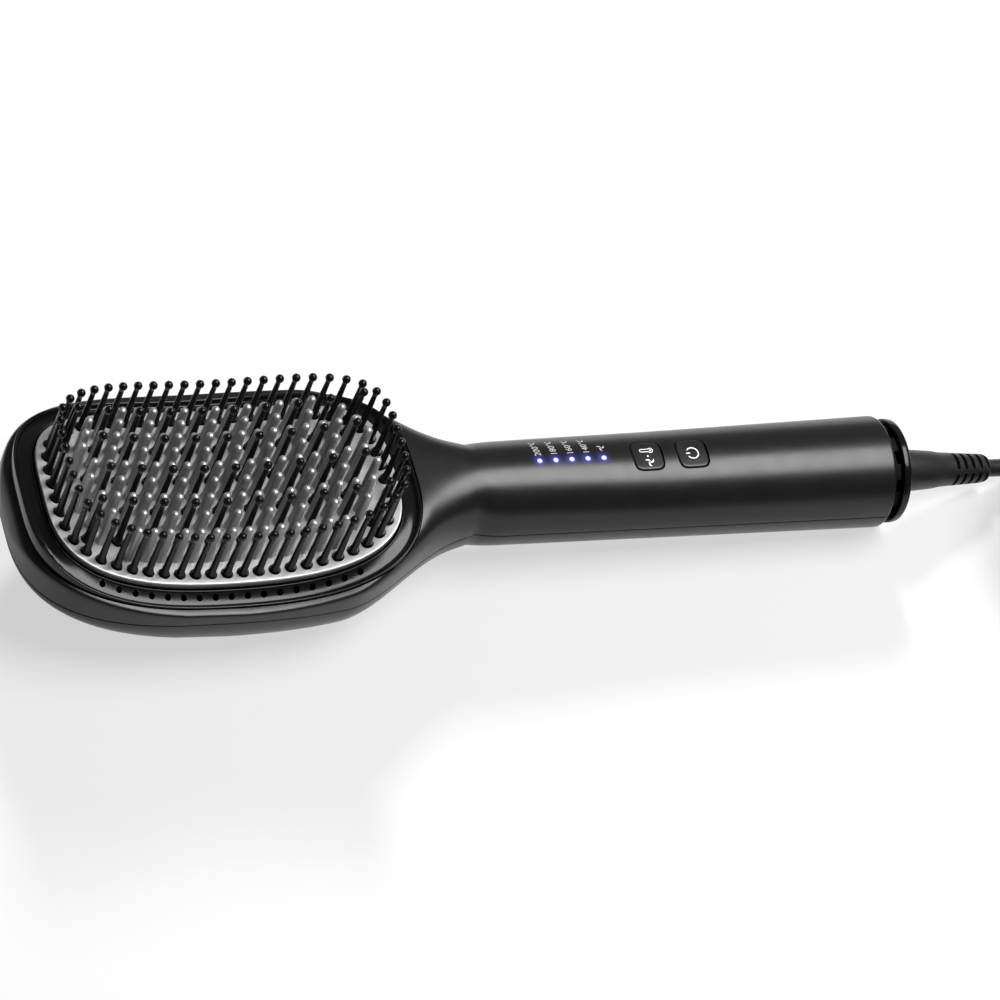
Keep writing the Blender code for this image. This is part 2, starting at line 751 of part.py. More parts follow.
def bottom_shell(root):
    """The lower half of the housing, with posts for the screws and ribs for the board."""
    look = ((0.014, 0.014, 0.015), 0.5)
    shell = add_object("bottom_shell", outer_half("bottom_shell", -1), root, look)
    cut(shell, add_object("bottom_hollow", inner_form("bottom_hollow"), root))
    shield_seat = SHIELD_TOP - SHIELD_THICKNESS - FIT_GAP
    for x, high in screw_seats(shield_seat):
        low = -back_depth(x)
        fuse(shell, screw_post(f"post_{x:.3f}", x, low + BACK_WALL / 2, high, BOSS_RADIUS, root))
        cut(shell, screw_post(f"hole_{x:.3f}", x, low - OVERRUN, high + OVERRUN, SCREW_HOLE_RADIUS, root))
        recess = low + SCREW_RECESS + FIT_GAP
        radius = SCREW_HEAD_RADIUS + FIT_GAP
        cut(shell, screw_post(f"recess_{x:.3f}", x, low - OVERRUN, recess, radius, root))
    for x in (BOARD_FROM_X + BOARD_RIB_INSET, BOARD_TO_X - BOARD_RIB_INSET):
        high = BOARD_TOP - BOARD_THICKNESS - FIT_GAP
        outside = (BOARD_RIB_SIZE[1] / 2) ** 2
        deep = math.sqrt(handle_radius(x) ** 2 - outside) - HANDLE_WALL / 2
        size = (*BOARD_RIB_SIZE, high + deep)
        mesh = box_mesh("board_rib", size, (x, 0, (high - deep) / 2))
        fuse(shell, add_object(f"board_rib_{x:.3f}", mesh, root))
    land = box_mesh("rest_land", (HEAD_HALF_LENGTH, HEAD_HALF_LENGTH, OVERRUN), (0, 0, -OVERRUN / 2))
    cutter = add_object("rest_land", land, None)
    cutter.location = (root.location.x, 0, 0)
    cut(shell, cutter)
    return smooth(shell)


def screw_seats(shield_seat):
    """(place along X, height of the post's top) for each screw."""
    return [
        (-HEAD_SCREW_X, shield_seat),
        (HEAD_SCREW_X, shield_seat),
        (NECK_SCREW_X, -FIT_GAP / 2),
        (HANDLE_SCREW_X, -FIT_GAP / 2),
    ]


def screws(root):
    """Four screws, put in from the back."""
    names = ("head_screw_1", "head_screw_2", "handle_screw_1", "handle_screw_2")
    look = ((0.35, 0.35, 0.36), 0.35, 1.0)
    for name, (x, high) in zip(names, screw_seats(SHIELD_TOP)):
        length = high + SCREW_GRIP + back_depth(x) - SCREW_RECESS
        head = SCREW_HEAD_HEIGHT
        profile = [
            (length, 0.0),
            (length, SCREW_SHANK_RADIUS),
            (0.0, SCREW_SHANK_RADIUS),
            (0.0, SCREW_HEAD_RADIUS),
            (-head, SCREW_HEAD_RADIUS),
            (-head, 0.0),
        ]
        place = (x, 0, SCREW_RECESS - back_depth(x))
        turned(name, profile, root, look, place, (0, -math.pi / 2, 0), SMALL_STEPS)


# Brush face


def heating_plate(root):
    """The silver plate, its teeth, and the holes that the long pins pass through."""
    low = PLATE_TOP - PLATE_THICKNESS
    look = ((0.62, 0.62, 0.63), 0.3, 1.0)
    plate = add_object("heating_plate", oval_slab("heating_plate", 0.0, low, PLATE_TOP), root, look)
    teeth, pins = tooth_places()
    places = [(x, y, PLATE_TOP + face_sag(x), tip_rise(y)) for x, y in teeth]
    profile = [
        (-ROOT_SINK, TOOTH_ROOT_RADIUS),
        (TOOTH_HEIGHT, TOOTH_TIP_RADIUS),
    ]
    fuse(plate, add_object("teeth", strands_mesh("teeth", places, profile), root))
    radius = PIN_ROOT_RADIUS + PIN_HOLE_GAP
    holes = [(x, y, PLATE_TOP + face_sag(x), 0) for x, y in edge_pin_places() + pins]
    profile = [(-2 * PLATE_THICKNESS, radius), (PLATE_THICKNESS, radius)]
    cut(plate, add_object("pin_holes", strands_mesh("pin_holes", holes, profile), root))
    return plate


def pin_carrier(root):
    """The black comb under the plate, with its long ball-tipped pins and two screw posts."""
    high = PLATE_TOP - PLATE_THICKNESS - FIT_GAP
    low = high - CARRIER_THICKNESS
    look = ((0.012, 0.012, 0.012), 0.3)
    comb = add_object("pin_carrier", oval_slab("pin_carrier", -CARRIER_INSET, low, high), root, look)
    places = [(x, y, high + face_sag(x), 0) for x, y in edge_pin_places()]
    places += [(x, y, high + face_sag(x), tip_rise(y)) for x, y in tooth_places()[1]]
    length = PIN_HEIGHT + PLATE_TOP - high
    profile = [
        (-ROOT_SINK, PIN_ROOT_RADIUS),
        (length - 2 * PIN_BALL_RADIUS, PIN_NECK_RADIUS),
        (length, PIN_BALL_RADIUS),
    ]
    fuse(comb, add_object("long_pins", strands_mesh("long_pins", places, profile), root))
    seat = SHIELD_TOP + FIT_GAP
    for x in (-HEAD_SCREW_X, HEAD_SCREW_X):
        roof = low + face_sag(x) + CARRIER_THICKNESS / 2
        fuse(comb, screw_post(f"comb_post_{x:.3f}", x, seat, roof, CARRIER_BOSS_RADIUS, root))
        bore = seat + SCREW_GRIP + SCREW_SHANK_RADIUS
        cut(comb, screw_post(f"comb_bore_{x:.3f}", x, seat - OVERRUN, bore, SCREW_HOLE_RADIUS, root))
    slot = (HEATER_LENGTH + 2 * SLOT_MARGIN, HEATER_WIDTH + 2 * SLOT_MARGIN, OVERRUN)
    cut(comb, add_object("heater_slot", box_mesh("heater_slot", slot, (0, 0, high)), root))
    return comb


def bezel(root):
    """The gloss ring with its air holes."""
    look = ((0.010, 0.010, 0.011), 0.12)
    ring = add_object("air_outlet_bezel", bezel_mesh(), root, look)
    cut(ring, add_object("vent_cutters", vent_cutters(), root))
    return smooth(ring)


def heater_parts(root):
    """The ceramic heater below the plate, its insulator, its clamp and its guards."""
    under = PLATE_TOP - PLATE_THICKNESS - FIT_GAP
    size = (HEATER_LENGTH, HEATER_WIDTH, HEATER_THICKNESS)
    centre = (0, 0, under - HEATER_THICKNESS / 2)
    look = ((0.75, 0.74, 0.70), 0.7)
    add_object("ceramic_heater", box_mesh("ceramic_heater", size, centre), root, look)

    mica_top = under - HEATER_THICKNESS - FIT_GAP
    size = (HEATER_LENGTH + 2 * MICA_MARGIN, HEATER_WIDTH + 2 * MICA_MARGIN, MICA_THICKNESS)
    centre = (0, 0, mica_top - MICA_THICKNESS / 2)
    look = ((0.45, 0.33, 0.18), 0.5)
    add_object("mica_sheet", box_mesh("mica_sheet", size, centre), root, look)

    comb_under = PLATE_TOP - PLATE_THICKNESS - FIT_GAP - CARRIER_THICKNESS
    clamp_top = mica_top - MICA_THICKNESS - FIT_GAP
    inside = HEATER_LENGTH + 2 * MICA_MARGIN + 2 * FIT_GAP
    outside = inside + 2 * CLAMP_LEG
    leg_top = comb_under + face_sag(inside / 2) - FIT_GAP
    size = (outside, HEATER_WIDTH, leg_top - clamp_top + CLAMP_THICKNESS)
    centre = (0, 0, (leg_top + clamp_top - CLAMP_THICKNESS) / 2)
    look = ((0.5, 0.5, 0.52), 0.3, 1.0)
    clamp = add_object("heater_clamp", box_mesh("heater_clamp", size, centre), root, look)
    well = (inside, 2 * HEATER_WIDTH, OVERRUN)
    centre = (0, 0, clamp_top + OVERRUN / 2)
    cut(clamp, add_object("clamp_well", box_mesh("clamp_well", well, centre), root))

    look = ((0.8, 0.78, 0.7), 0.5)
    centre = (0, GUARD_OFFSET_Y, comb_under - FIT_GAP - FUSE_RADIUS)
    add_object("thermal_fuse", rod_mesh("thermal_fuse", FUSE_RADIUS, FUSE_LENGTH, centre, "X"), root, look)
    centre = (0, -GUARD_OFFSET_Y, comb_under - FIT_GAP - THERMOSTAT_SIZE[2] / 2)
    look = ((0.03, 0.03, 0.03), 0.5)
    add_object("thermostat", box_mesh("thermostat", THERMOSTAT_SIZE, centre), root, look)


def heat_shield(root):
    """A flat plate between the hot parts and the back, held between the screw posts."""
    outline = bpy.data.curves.new("heat_shield", "CURVE")
    outline.dimensions = "2D"
    outline.fill_mode = "BOTH"
    outline.extrude = SHIELD_THICKNESS / 2
    spline = outline.splines.new("POLY")
    spline.use_cyclic_u = True
    count = 4 * OVAL_STATIONS
    spline.points.add(count - 1)
    power = PLATE_OUTLINE_POWER
    reach = HEAD_HALF_LENGTH - SHIELD_TIP_INSET
    for k, point in enumerate(spline.points):
        c, s = math.cos(math.tau * k / count), math.sin(math.tau * k / count)
        x = reach * math.copysign(abs(c) ** (2 / power), c)
        y = SHIELD_HALF_WIDTH * math.copysign(abs(s) ** (2 / power), s)
        point.co = (x, y, 0, 1)
    guide = bpy.data.objects.new("heat_shield_outline", outline)
    SEEN.objects.link(guide)
    graph = bpy.context.evaluated_depsgraph_get()
    mesh = bpy.data.meshes.new_from_object(guide.evaluated_get(graph))
    bpy.data.objects.remove(guide)
    work = bmesh.new()
    work.from_mesh(mesh)
    bmesh.ops.remove_doubles(work, verts=work.verts, dist=FIT_GAP / 10)
    look = ((0.42, 0.40, 0.36), 0.6)
    place = (0, 0, SHIELD_TOP - SHIELD_THICKNESS / 2)
    shield = add_object("heat_shield", mesh_from("heat_shield", work), root, look, place)
    for x in (-HEAD_SCREW_X, HEAD_SCREW_X):
        low, high = SHIELD_TOP - OVERRUN, SHIELD_TOP + OVERRUN
        cut(shield, screw_post(f"shield_hole_{x:.3f}", x, low, high, SCREW_HOLE_RADIUS, root))
    return shield


# Controls


def control_board(root):
    """The board, with the lamps and the two switches on it."""
    middle = (BOARD_FROM_X + BOARD_TO_X) / 2
    size = (BOARD_TO_X - BOARD_FROM_X, BOARD_WIDTH, BOARD_THICKNESS)
    look = ((0.02, 0.12, 0.05), 0.5)
    centre = (middle, 0, BOARD_TOP - BOARD_THICKNESS / 2)
    add_object("control_board", box_mesh("control_board", size, centre), root, look)
    seat = BOARD_TOP + FIT_GAP
    for k, x in enumerate(lamp_places()):
        name = f"led_{k + 1}"
        look = ((0.75, 0.85, 1.0), 0.3, 0.0, 2.0)
        add_object(name, box_mesh(name, LED_SIZE, (x, 0, seat + LED_SIZE[2] / 2)), root, look)
    for name, x in (("mode_switch", MODE_BUTTON_X), ("power_switch", POWER_BUTTON_X)):
        size = (SWITCH_SIDE, SWITCH_SIDE, SWITCH_HEIGHT)
        look = ((0.06, 0.06, 0.06), 0.5)
        body = box_mesh(name, size, (x, 0, seat + SWITCH_HEIGHT / 2))
        switch = add_object(name, body, root, look)
        low, high = seat + SWITCH_HEIGHT / 2, seat + SWITCH_HEIGHT + STEM_HEIGHT
        fuse(switch, screw_post(f"{name}_stem", x, low, high, STEM_RADIUS, root))


def light_guide(root):
    """Five clear pegs on one bar, from above the lamps to the handle's surface."""
    foot = BOARD_TOP + FIT_GAP + LED_SIZE[2] + FIT_GAP
    places = lamp_places()
    middle = (places[0] + places[-1]) / 2
    length = places[-1] - places[0] + 2 * (PEG_RADIUS + GUIDE_BAR_MARGIN)
    size = (length, GUIDE_BAR_WIDTH, GUIDE_BAR_HEIGHT)
    centre = (middle, 0, foot + GUIDE_BAR_LIFT + GUIDE_BAR_HEIGHT / 2)
    look = ((0.75, 0.85, 1.0), 0.15, 0.0, 1.0)
    guide = add_object("light_guide", box_mesh("light_guide", size, centre), root, look)
    for k, x in enumerate(places):
        profile = [(foot, PEG_RADIUS), (top_height(x), PEG_RADIUS)]
        peg = strands_mesh(f"peg_{k + 1}", [(x, 0, 0, 0)], profile)
        fuse(guide, add_object(f"peg_{k + 1}", peg, root))
    return guide


def buttons(root):
    """Two square buttons, each on its own origin at the middle of its top."""
    for name, x in (("mode_button", MODE_BUTTON_X), ("power_button", POWER_BUTTON_X)):
        top = top_height(x) - BUTTON_SINK
        switch_top = BOARD_TOP + FIT_GAP + SWITCH_HEIGHT + STEM_HEIGHT
        low = switch_top + BUTTON_TRAVEL + STEM_PLAY - top
        size = (BUTTON_SIDE, BUTTON_SIDE, -low)
        mesh = box_mesh(name, size, (0, 0, low / 2), BUTTON_CORNER)
        look = ((0.012, 0.012, 0.013), 0.35)
        button = add_object(name, mesh, root, look, (x, 0, top))
        side = BUTTON_SIDE + 2 * BUTTON_FLANGE
        size = (side, side, BUTTON_FLANGE_HEIGHT)
        flange = box_mesh(f"{name}_flange", size, (0, 0, low + BUTTON_FLANGE_HEIGHT / 2))
        fuse(button, add_object(f"{name}_flange", flange, root, None, (x, 0, top)))


# Fan


def fan(root):
    """The motor, its holder, its shaft and the impeller that turns with the shaft."""
    motor_end = MOTOR_FROM_X + MOTOR_LENGTH
    bore = SHAFT_RADIUS + FIT_GAP
    profile = [
        (motor_end - SHAFT_SEAT, 0.0),
        (motor_end - SHAFT_SEAT, bore),
        (motor_end, bore),
        (motor_end, MOTOR_RADIUS),
        (MOTOR_FROM_X, MOTOR_RADIUS),
        (MOTOR_FROM_X, 0.0),
    ]
    turned("fan_motor", profile, root, ((0.55, 0.55, 0.57), 0.3, 1.0))

    fan_from = motor_end + FAN_GAP
    middle = fan_from + FAN_LENGTH / 2
    shaft_from = motor_end - SHAFT_SEAT + FIT_GAP
    shaft_to = fan_from + FAN_LENGTH
    length = shaft_to - shaft_from
    centre = ((shaft_from + shaft_to) / 2 - middle, 0, 0)
    mesh = rod_mesh("motor_shaft", SHAFT_RADIUS, length, centre, "X")
    add_object("motor_shaft", mesh, root, ((0.6, 0.6, 0.6), 0.2, 1.0), (middle, 0, 0))

    hub = rod_mesh("fan_impeller", HUB_RADIUS, FAN_LENGTH, (0, 0, 0), "X", TURN_STEPS)
    impeller = add_object("fan_impeller", hub, root, ((0.05, 0.05, 0.05), 0.4), (middle, 0, 0))
    reach = FAN_RADIUS - HUB_RADIUS / 2
    for k in range(FAN_BLADES):
        size = (FAN_LENGTH / math.cos(BLADE_TWIST), BLADE_THICKNESS, reach)
        work = bmesh.new()
        work.from_mesh(box_mesh("blade", size))
        long_enough = math.cos(BLADE_TWIST) ** 2
        bmesh.ops.scale(work, vec=(long_enough, 1, 1), verts=work.verts)
        mesh = mesh_from(f"blade_{k + 1}", work)
        mesh.transform(rotation_about("Z", BLADE_TWIST))
        mesh.transform(translation((0, 0, HUB_RADIUS / 2 + reach / 2)))
        turn = (math.tau * k / FAN_BLADES, 0, 0)
        fuse(impeller, add_object(f"blade_{k + 1}", mesh, root, None, (middle, 0, 0), turn))
    bore_mesh = rod_mesh("hub_bore", bore, 2 * FAN_LENGTH, (0, 0, 0), "X")
    cut(impeller, add_object("hub_bore", bore_mesh, root, None, (middle, 0, 0)))

    inner = MOTOR_RADIUS + FIT_GAP
    outer = inner + HOLDER_WALL
    start = MOTOR_FROM_X + HOLDER_LENGTH
    end = start + HOLDER_LENGTH
    ring = [(end, inner), (end, outer), (start, outer), (start, inner), (end, inner)]
    holder = turned("motor_holder", ring, root, ((0.05, 0.05, 0.05), 0.6))
    tip = handle_radius(start) - HANDLE_WALL - FIT_GAP
    for k in range(HOLDER_SPOKES):
        low = inner + HOLDER_WALL / 2
        size = (HOLDER_LENGTH, SPOKE_WIDTH, tip - low)
        mesh = box_mesh(f"spoke_{k + 1}", size, (0, 0, (tip + low) / 2))
        turn = (math.tau * k / HOLDER_SPOKES, 0, 0)
        middle = (start + end) / 2
        fuse(holder, add_object(f"spoke_{k + 1}", mesh, root, None, (middle, 0, 0), turn))


def rotation_about(axis, angle):
    """A rotation as a 4 by 4 matrix."""
    return Matrix.Rotation(angle, 4, axis)


def translation(vector):
    """A move as a 4 by 4 matrix."""
    return Matrix.Translation(vector)


# Handle end and swivel


def handle_end(root):
    """The castellated air ring, the gloss cap and the clip behind the ball."""
    inner = RING_RADIUS - RING_WALL
    end = CAP_FROM_X - FIT_GAP
    ring = [(end, inner), (end, RING_RADIUS), (RING_FROM_X, RING_RADIUS), (RING_FROM_X, inner), (end, inner)]
    air_ring = turned("inlet_ring", ring, root, ((0.006, 0.006, 0.006), 0.6))
    for k in range(RING_NOTCHES):
        size = (2 * NOTCH_DEPTH, NOTCH_WIDTH, RING_RADIUS)
        mesh = box_mesh(f"notch_{k + 1}", size, (0, 0, RING_RADIUS))
        turn = (math.tau * (k + 0.5) / RING_NOTCHES, 0, 0)
        cut(air_ring, add_object(f"notch_{k + 1}", mesh, root, None, (end, 0, 0), turn))

    face = CAP_FROM_X + CAP_THICKNESS
    back = CAP_FROM_X - CAP_BOSS_LENGTH
    socket = BALL_RADIUS + FIT_GAP
    edge = CAP_EDGE_RADIUS
    lean = math.sqrt(socket**2 - CAP_MOUTH_RADIUS**2)
    profile = [
        (back, socket),
        (BALL_X, socket),
        (BALL_X + lean / 2, math.sqrt(socket**2 - (lean / 2) ** 2)),
        (BALL_X + lean, CAP_MOUTH_RADIUS),
        (face, CAP_MOUTH_RADIUS),
        (face, CAP_RADIUS - edge),
        (face - edge, CAP_RADIUS),
        (CAP_FROM_X, CAP_RADIUS),
        (CAP_FROM_X, CAP_BOSS_RADIUS),
        (back, CAP_BOSS_RADIUS),
        (back, socket),
    ]
    turned("end_cap", profile, root, ((0.010, 0.010, 0.011), 0.15))

    near = back - FIT_GAP
    far = near - RETAINER_THICKNESS
    clip = [
        (near, RETAINER_BORE_RADIUS),
        (near, CAP_BOSS_RADIUS),
        (far, CAP_BOSS_RADIUS),
        (far, RETAINER_BORE_RADIUS),
        (near, RETAINER_BORE_RADIUS),
    ]
    turned("swivel_retainer", clip, root, ((0.08, 0.08, 0.08), 0.6))


def cord_boot(root):
    """The ball, the neck and the tapered boot with its staggered notches."""
    ball = []
    for k in range(7):
        angle = math.pi - (math.pi - math.asin(BOOT_NECK_RADIUS / BALL_RADIUS)) * k / 6
        ball.append((BALL_RADIUS * math.cos(angle), BALL_RADIUS * math.sin(angle)))
    ball[0] = (-BALL_RADIUS, 0.0)
    outline = ball + [
        (BOOT_FROM, BOOT_NECK_RADIUS),
        (BOOT_FROM, BOOT_ROOT_RADIUS),
        (BOOT_WAIST, BOOT_WAIST_RADIUS),
        (BOOT_LENGTH, BOOT_END_RADIUS),
        (BOOT_LENGTH, 0.0),
    ]
    place = (BALL_X, 0, 0)
    turn = (0, BOOT_DIP, BOOT_SWING)
    boot = turned("cord_boot", outline[::-1], root, ((0.012, 0.012, 0.012), 0.5), place, turn)
    pitch = (BOOT_LENGTH - BOOT_WAIST) / BOOT_NOTCHES
    for k in range(BOOT_NOTCHES):
        along = BOOT_WAIST + (k + 0.5) * pitch
        for side in (-1, 1):
            size = (BOOT_NOTCH_WIDTH, 2 * BOOT_ROOT_RADIUS, BOOT_ROOT_RADIUS)
            centre = (along, 0, side * (BOOT_CORE_RADIUS + BOOT_ROOT_RADIUS / 2))
            name = f"boot_notch_{k + 1}_{side}"
            mesh = box_mesh(name, size, centre)
            mesh.transform(rotation_about("X", math.pi / 2 * (k % 2)))
            cut(boot, add_object(name, mesh, root, None, place, turn))
    return boot


# Wiring and cord


def hermite(start, start_way, end, end_way, count):
    """Points of a smooth curve between two places with given end slopes."""
    points = []
    for k in range(count + 1):
        t = k / count
        a = 2 * t**3 - 3 * t**2 + 1
        b = t**3 - 2 * t**2 + t
        c = -2 * t**3 + 3 * t**2
        d = t**3 - t**2
        points.append(a * start + b * start_way + c * end + d * end_way)
    return points


def inner_wiring(root):
    """The heater's lead through the neck, and the supply lead from the swivel to the board."""
    look = ((0.5, 0.5, 0.48), 0.6)
    radius = SCREW_SHANK_RADIUS
    low = BOARD_TOP - BOARD_THICKNESS - FIT_GAP - radius
    beside = CARRIER_BOSS_RADIUS + 2 * radius
    start = Vector((BOARD_FROM_X + BOARD_RIB_INSET / 2, beside, low))
    end = Vector((HEATER_LENGTH, beside, -FIT_GAP))
    way = Vector((start.x - end.x, 0, 0))
    tube("heater_lead", hermite(start, -way, end, -way, 8), radius, root, look, 1)

    radius = SHAFT_RADIUS
    depth = handle_radius(MOTOR_FROM_X) - HANDLE_WALL - FIT_GAP - radius
    back = CAP_FROM_X - CAP_BOSS_LENGTH - RETAINER_THICKNESS - 2 * FIT_GAP - radius
    lane = Vector((0, math.sin(LEAD_LANE), -math.cos(LEAD_LANE)))
    ahead = Vector((1, 0, 0))
    path = [
        back * ahead + BOOT_NECK_RADIUS * lane,
        back * ahead + (depth - radius) * lane,
        (back - 2 * radius) * ahead + depth * lane,
        HANDLE_SCREW_X * ahead + depth * lane,
        Vector((BOARD_TO_X - radius, depth * lane.y, low - radius)),
    ]
    tube("supply_lead", path, radius, root, look, 1)


def coil_points(centre, start_angle, turns, floor):
    """Piled loops that spiral in and out at a steady rate, a layer at a time.

    The radius runs in and out evenly, and the height climbs one layer pitch in the half
    turn about each reversal. The last climb starts a layer of its own, which the tail
    carries on. Angles run clockwise seen from above.
    """
    count = round(turns * COIL_POINTS_A_TURN)
    span = COIL_TURN_PITCH * COIL_TURNS_A_LAYER
    points = []
    for k in range(count + 1):
        turn = turns * k / count
        layer, along = divmod(turn / COIL_TURNS_A_LAYER, 1.0)
        inward = along if layer % 2 == 0 else 1 - along
        radius = COIL_MEAN_RADIUS + span * (0.5 - inward)
        climb = 0.0
        for reversal in range(1, COIL_LAYERS + 1):
            past = turn - reversal * COIL_TURNS_A_LAYER
            climb += ease(past / COIL_RISE_TURNS + 0.5)
        angle = start_angle - math.tau * turn
        x = centre.x + radius * math.cos(angle)
        y = centre.y + radius * math.sin(angle)
        points.append(Vector((x, y, floor + COIL_LAYER_PITCH * climb)))
    return points


def least_gap(points, diameter, skip):
    """The least gap of a tube to itself, between points more than skip apart along it."""
    path = np.array(points)
    gap = math.inf
    for k in range(len(path) - skip):
        apart = np.linalg.norm(path[k + skip :] - path[k], axis=1).min()
        gap = min(gap, apart - diameter)
    return gap


def straight_ends(points, length):
    """The path with a straight run of the given length added to each end."""
    first = (points[0] - points[1]).normalized() * length
    last = (points[-1] - points[-2]).normalized() * length
    return [points[0] + first, *points, points[-1] + last]


def path_length(points):
    """The length of a path."""
    return sum((b - a).length for a, b in zip(points, points[1:]))


def cord(root):
    """The cord's lead, its coil, its tail, the tie round the coil and the plug."""
    look = ((0.012, 0.012, 0.012), 0.55)
    radius = CORD_DIAMETER / 2
    floor = radius + TIE_THICKNESS + FIT_GAP
    along = root.rotation_euler.to_matrix() @ boot_direction()
    boot_end = root.matrix_world @ (Vector((BALL_X, 0, 0)) + BOOT_LENGTH * boot_direction())
    exit_point = boot_end + FIT_GAP * along
    straight = exit_point + CORD_STRAIGHT * along

    outer = COIL_MEAN_RADIUS + COIL_TURN_PITCH * COIL_TURNS_A_LAYER / 2
    touch = Vector((exit_point.x + LEAD_REACH, straight.y, floor))
    centre = Vector((touch.x, touch.y - outer, 0))
    turns = COIL_LAYERS * COIL_TURNS_A_LAYER + COIL_RISE_TURNS / 2
    coil = coil_points(centre, math.pi / 2, turns, floor)
    coil = straight_ends(coil, CORD_DIAMETER)
    entry, leave = coil[0], coil[-1]
    entry_way = (coil[1] - coil[0]).normalized()
    leave_way = (coil[-1] - coil[-2]).normalized()

    reach = (entry - straight).length
    bend = hermite(straight, along * reach, entry - FIT_GAP * entry_way, entry_way * reach, 5)
    lead = [exit_point, *bend]
    tube("cord_lead", lead, radius, None, look, 2)
    tube("cord_coil", coil, radius, None, look, 1)

    plug_middle = coil_tie(centre, look) + FIT_GAP + PLUG_HEIGHT / 2
    tail = tail_points(leave + FIT_GAP * leave_way, leave_way, plug_middle)
    tube("cord_tail", tail, radius, None, look, 2)

    gap = least_gap(coil, CORD_DIAMETER, COIL_POINTS_A_TURN // 2)
    print(f"least gap of the coil to itself: {gap * 1000:.2f} mm")
    print("cord length", path_length(lead) + path_length(coil) + path_length(tail))
    flat_way = (tail[-1] - tail[-2]).normalized()
    plug(tail[-1] + FIT_GAP * flat_way, flat_way)


def tail_points(start, way, height):
    """A clockwise bend over the coil that rises to the height, level at both ends."""
    heading = math.atan2(way.y, way.x)
    points = [start]
    first = start + way * CORD_DIAMETER
    middle_x = first.x + TAIL_BEND_RADIUS * math.sin(heading)
    middle_y = first.y - TAIL_BEND_RADIUS * math.cos(heading)
    for k in range(TAIL_STATIONS + 1):
        share = k / TAIL_STATIONS
        angle = heading + math.pi / 2 - TAIL_SWEEP * share
        x = middle_x + TAIL_BEND_RADIUS * math.cos(angle)
        y = middle_y + TAIL_BEND_RADIUS * math.sin(angle)
        points.append(Vector((x, y, first.z + (height - first.z) * ease(share))))
    heading -= TAIL_SWEEP
    flat = Vector((math.cos(heading), math.sin(heading), 0))
    return [*points, points[-1] + flat * CORD_DIAMETER]


def coil_tie(centre, look):
    """A strap round the piled turns, across from where the lead comes in; gives its top."""
    span = COIL_TURN_PITCH * COIL_TURNS_A_LAYER
    clear = CORD_DIAMETER / 2 + FIT_GAP
    width = span + 2 * clear + COIL_TURN_PITCH / 2
    height = COIL_LAYER_PITCH * (COIL_LAYERS - 1) + 2 * clear
    outside = (TIE_WIDTH, width + 2 * TIE_THICKNESS, height + 2 * TIE_THICKNESS)
    middle = Vector((centre.x, centre.y - COIL_MEAN_RADIUS, height / 2 + TIE_THICKNESS))
    tie = add_object("cord_tie", box_mesh("cord_tie", outside), None, look, middle)
    inside = (2 * TIE_WIDTH, width, height)
    cut(tie, add_object("tie_inside", box_mesh("tie_inside", inside), None, None, middle))
    return outside[2]


def plug(start, way):
    """A flat two-pin plug that lies on the coil's strap at the end of the tail."""
    look = ((0.012, 0.012, 0.012), 0.5)
    heading = (0, 0, math.atan2(way.y, way.x))
    rings = []
    for along_share, wide_share in PLUG_OUTLINE_SHARES:
        x = PLUG_LENGTH * along_share
        w = (PLUG_NOSE_WIDTH + (PLUG_WIDTH - PLUG_NOSE_WIDTH) * wide_share) / 2
        h = (PLUG_NOSE_WIDTH + (PLUG_HEIGHT - PLUG_NOSE_WIDTH) * wide_share) / 2
        c = h * PLUG_CORNER_SHARE
        right = [(w - c, h), (w, h - c), (w, c - h), (w - c, -h)]
        left = [(-y, z) for y, z in right[::-1]]
        rings.append([(x, y, z) for y, z in right + left])
    body = add_object("plug_body", loft_mesh("plug_body", rings), None, look, start, heading)
    for k, side in enumerate((-1, 1)):
        across = Vector((-way.y, way.x, 0)) * side * PLUG_PIN_SPACING / 2
        centre = (PLUG_LENGTH + FIT_GAP + PLUG_PIN_LENGTH / 2, 0, 0)
        mesh = rod_mesh(f"plug_pin_{k + 1}", PLUG_PIN_RADIUS, PLUG_PIN_LENGTH, centre, "X")
        metal = ((0.7, 0.7, 0.7), 0.2, 1.0)
        add_object(f"plug_pin_{k + 1}", mesh, None, metal, start + across, heading)
    return body


def main():
    """Build every piece on the root empty, then the cord on the floor."""
    clear_scene()
    root = place_root()
    top_shell(root)
    bottom_shell(root)
    screws(root)
    heating_plate(root)
    pin_carrier(root)
    bezel(root)
    heater_parts(root)
    heat_shield(root)
    control_board(root)
    light_guide(root)
    buttons(root)
    fan(root)
    handle_end(root)
    cord_boot(root)
    inner_wiring(root)
    cord(root)


main()
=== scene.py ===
"""The looks of the hot air brush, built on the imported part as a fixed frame.

Lengths are in metres. The brush's own frame has X along the handle, from the head to the
cord, Y across it and Z up out of the teeth. Every piece is worked out there, or beside it
on the floor, and its points are then moved to where the brush lies at rest.
"""

from __future__ import annotations

import json
import logging
import math
from collections.abc import Mapping, Sequence
from dataclasses import dataclass, field
from enum import Enum

import bmesh
import bpy
import numpy as np
from mathutils import Matrix
from numpy.typing import NDArray

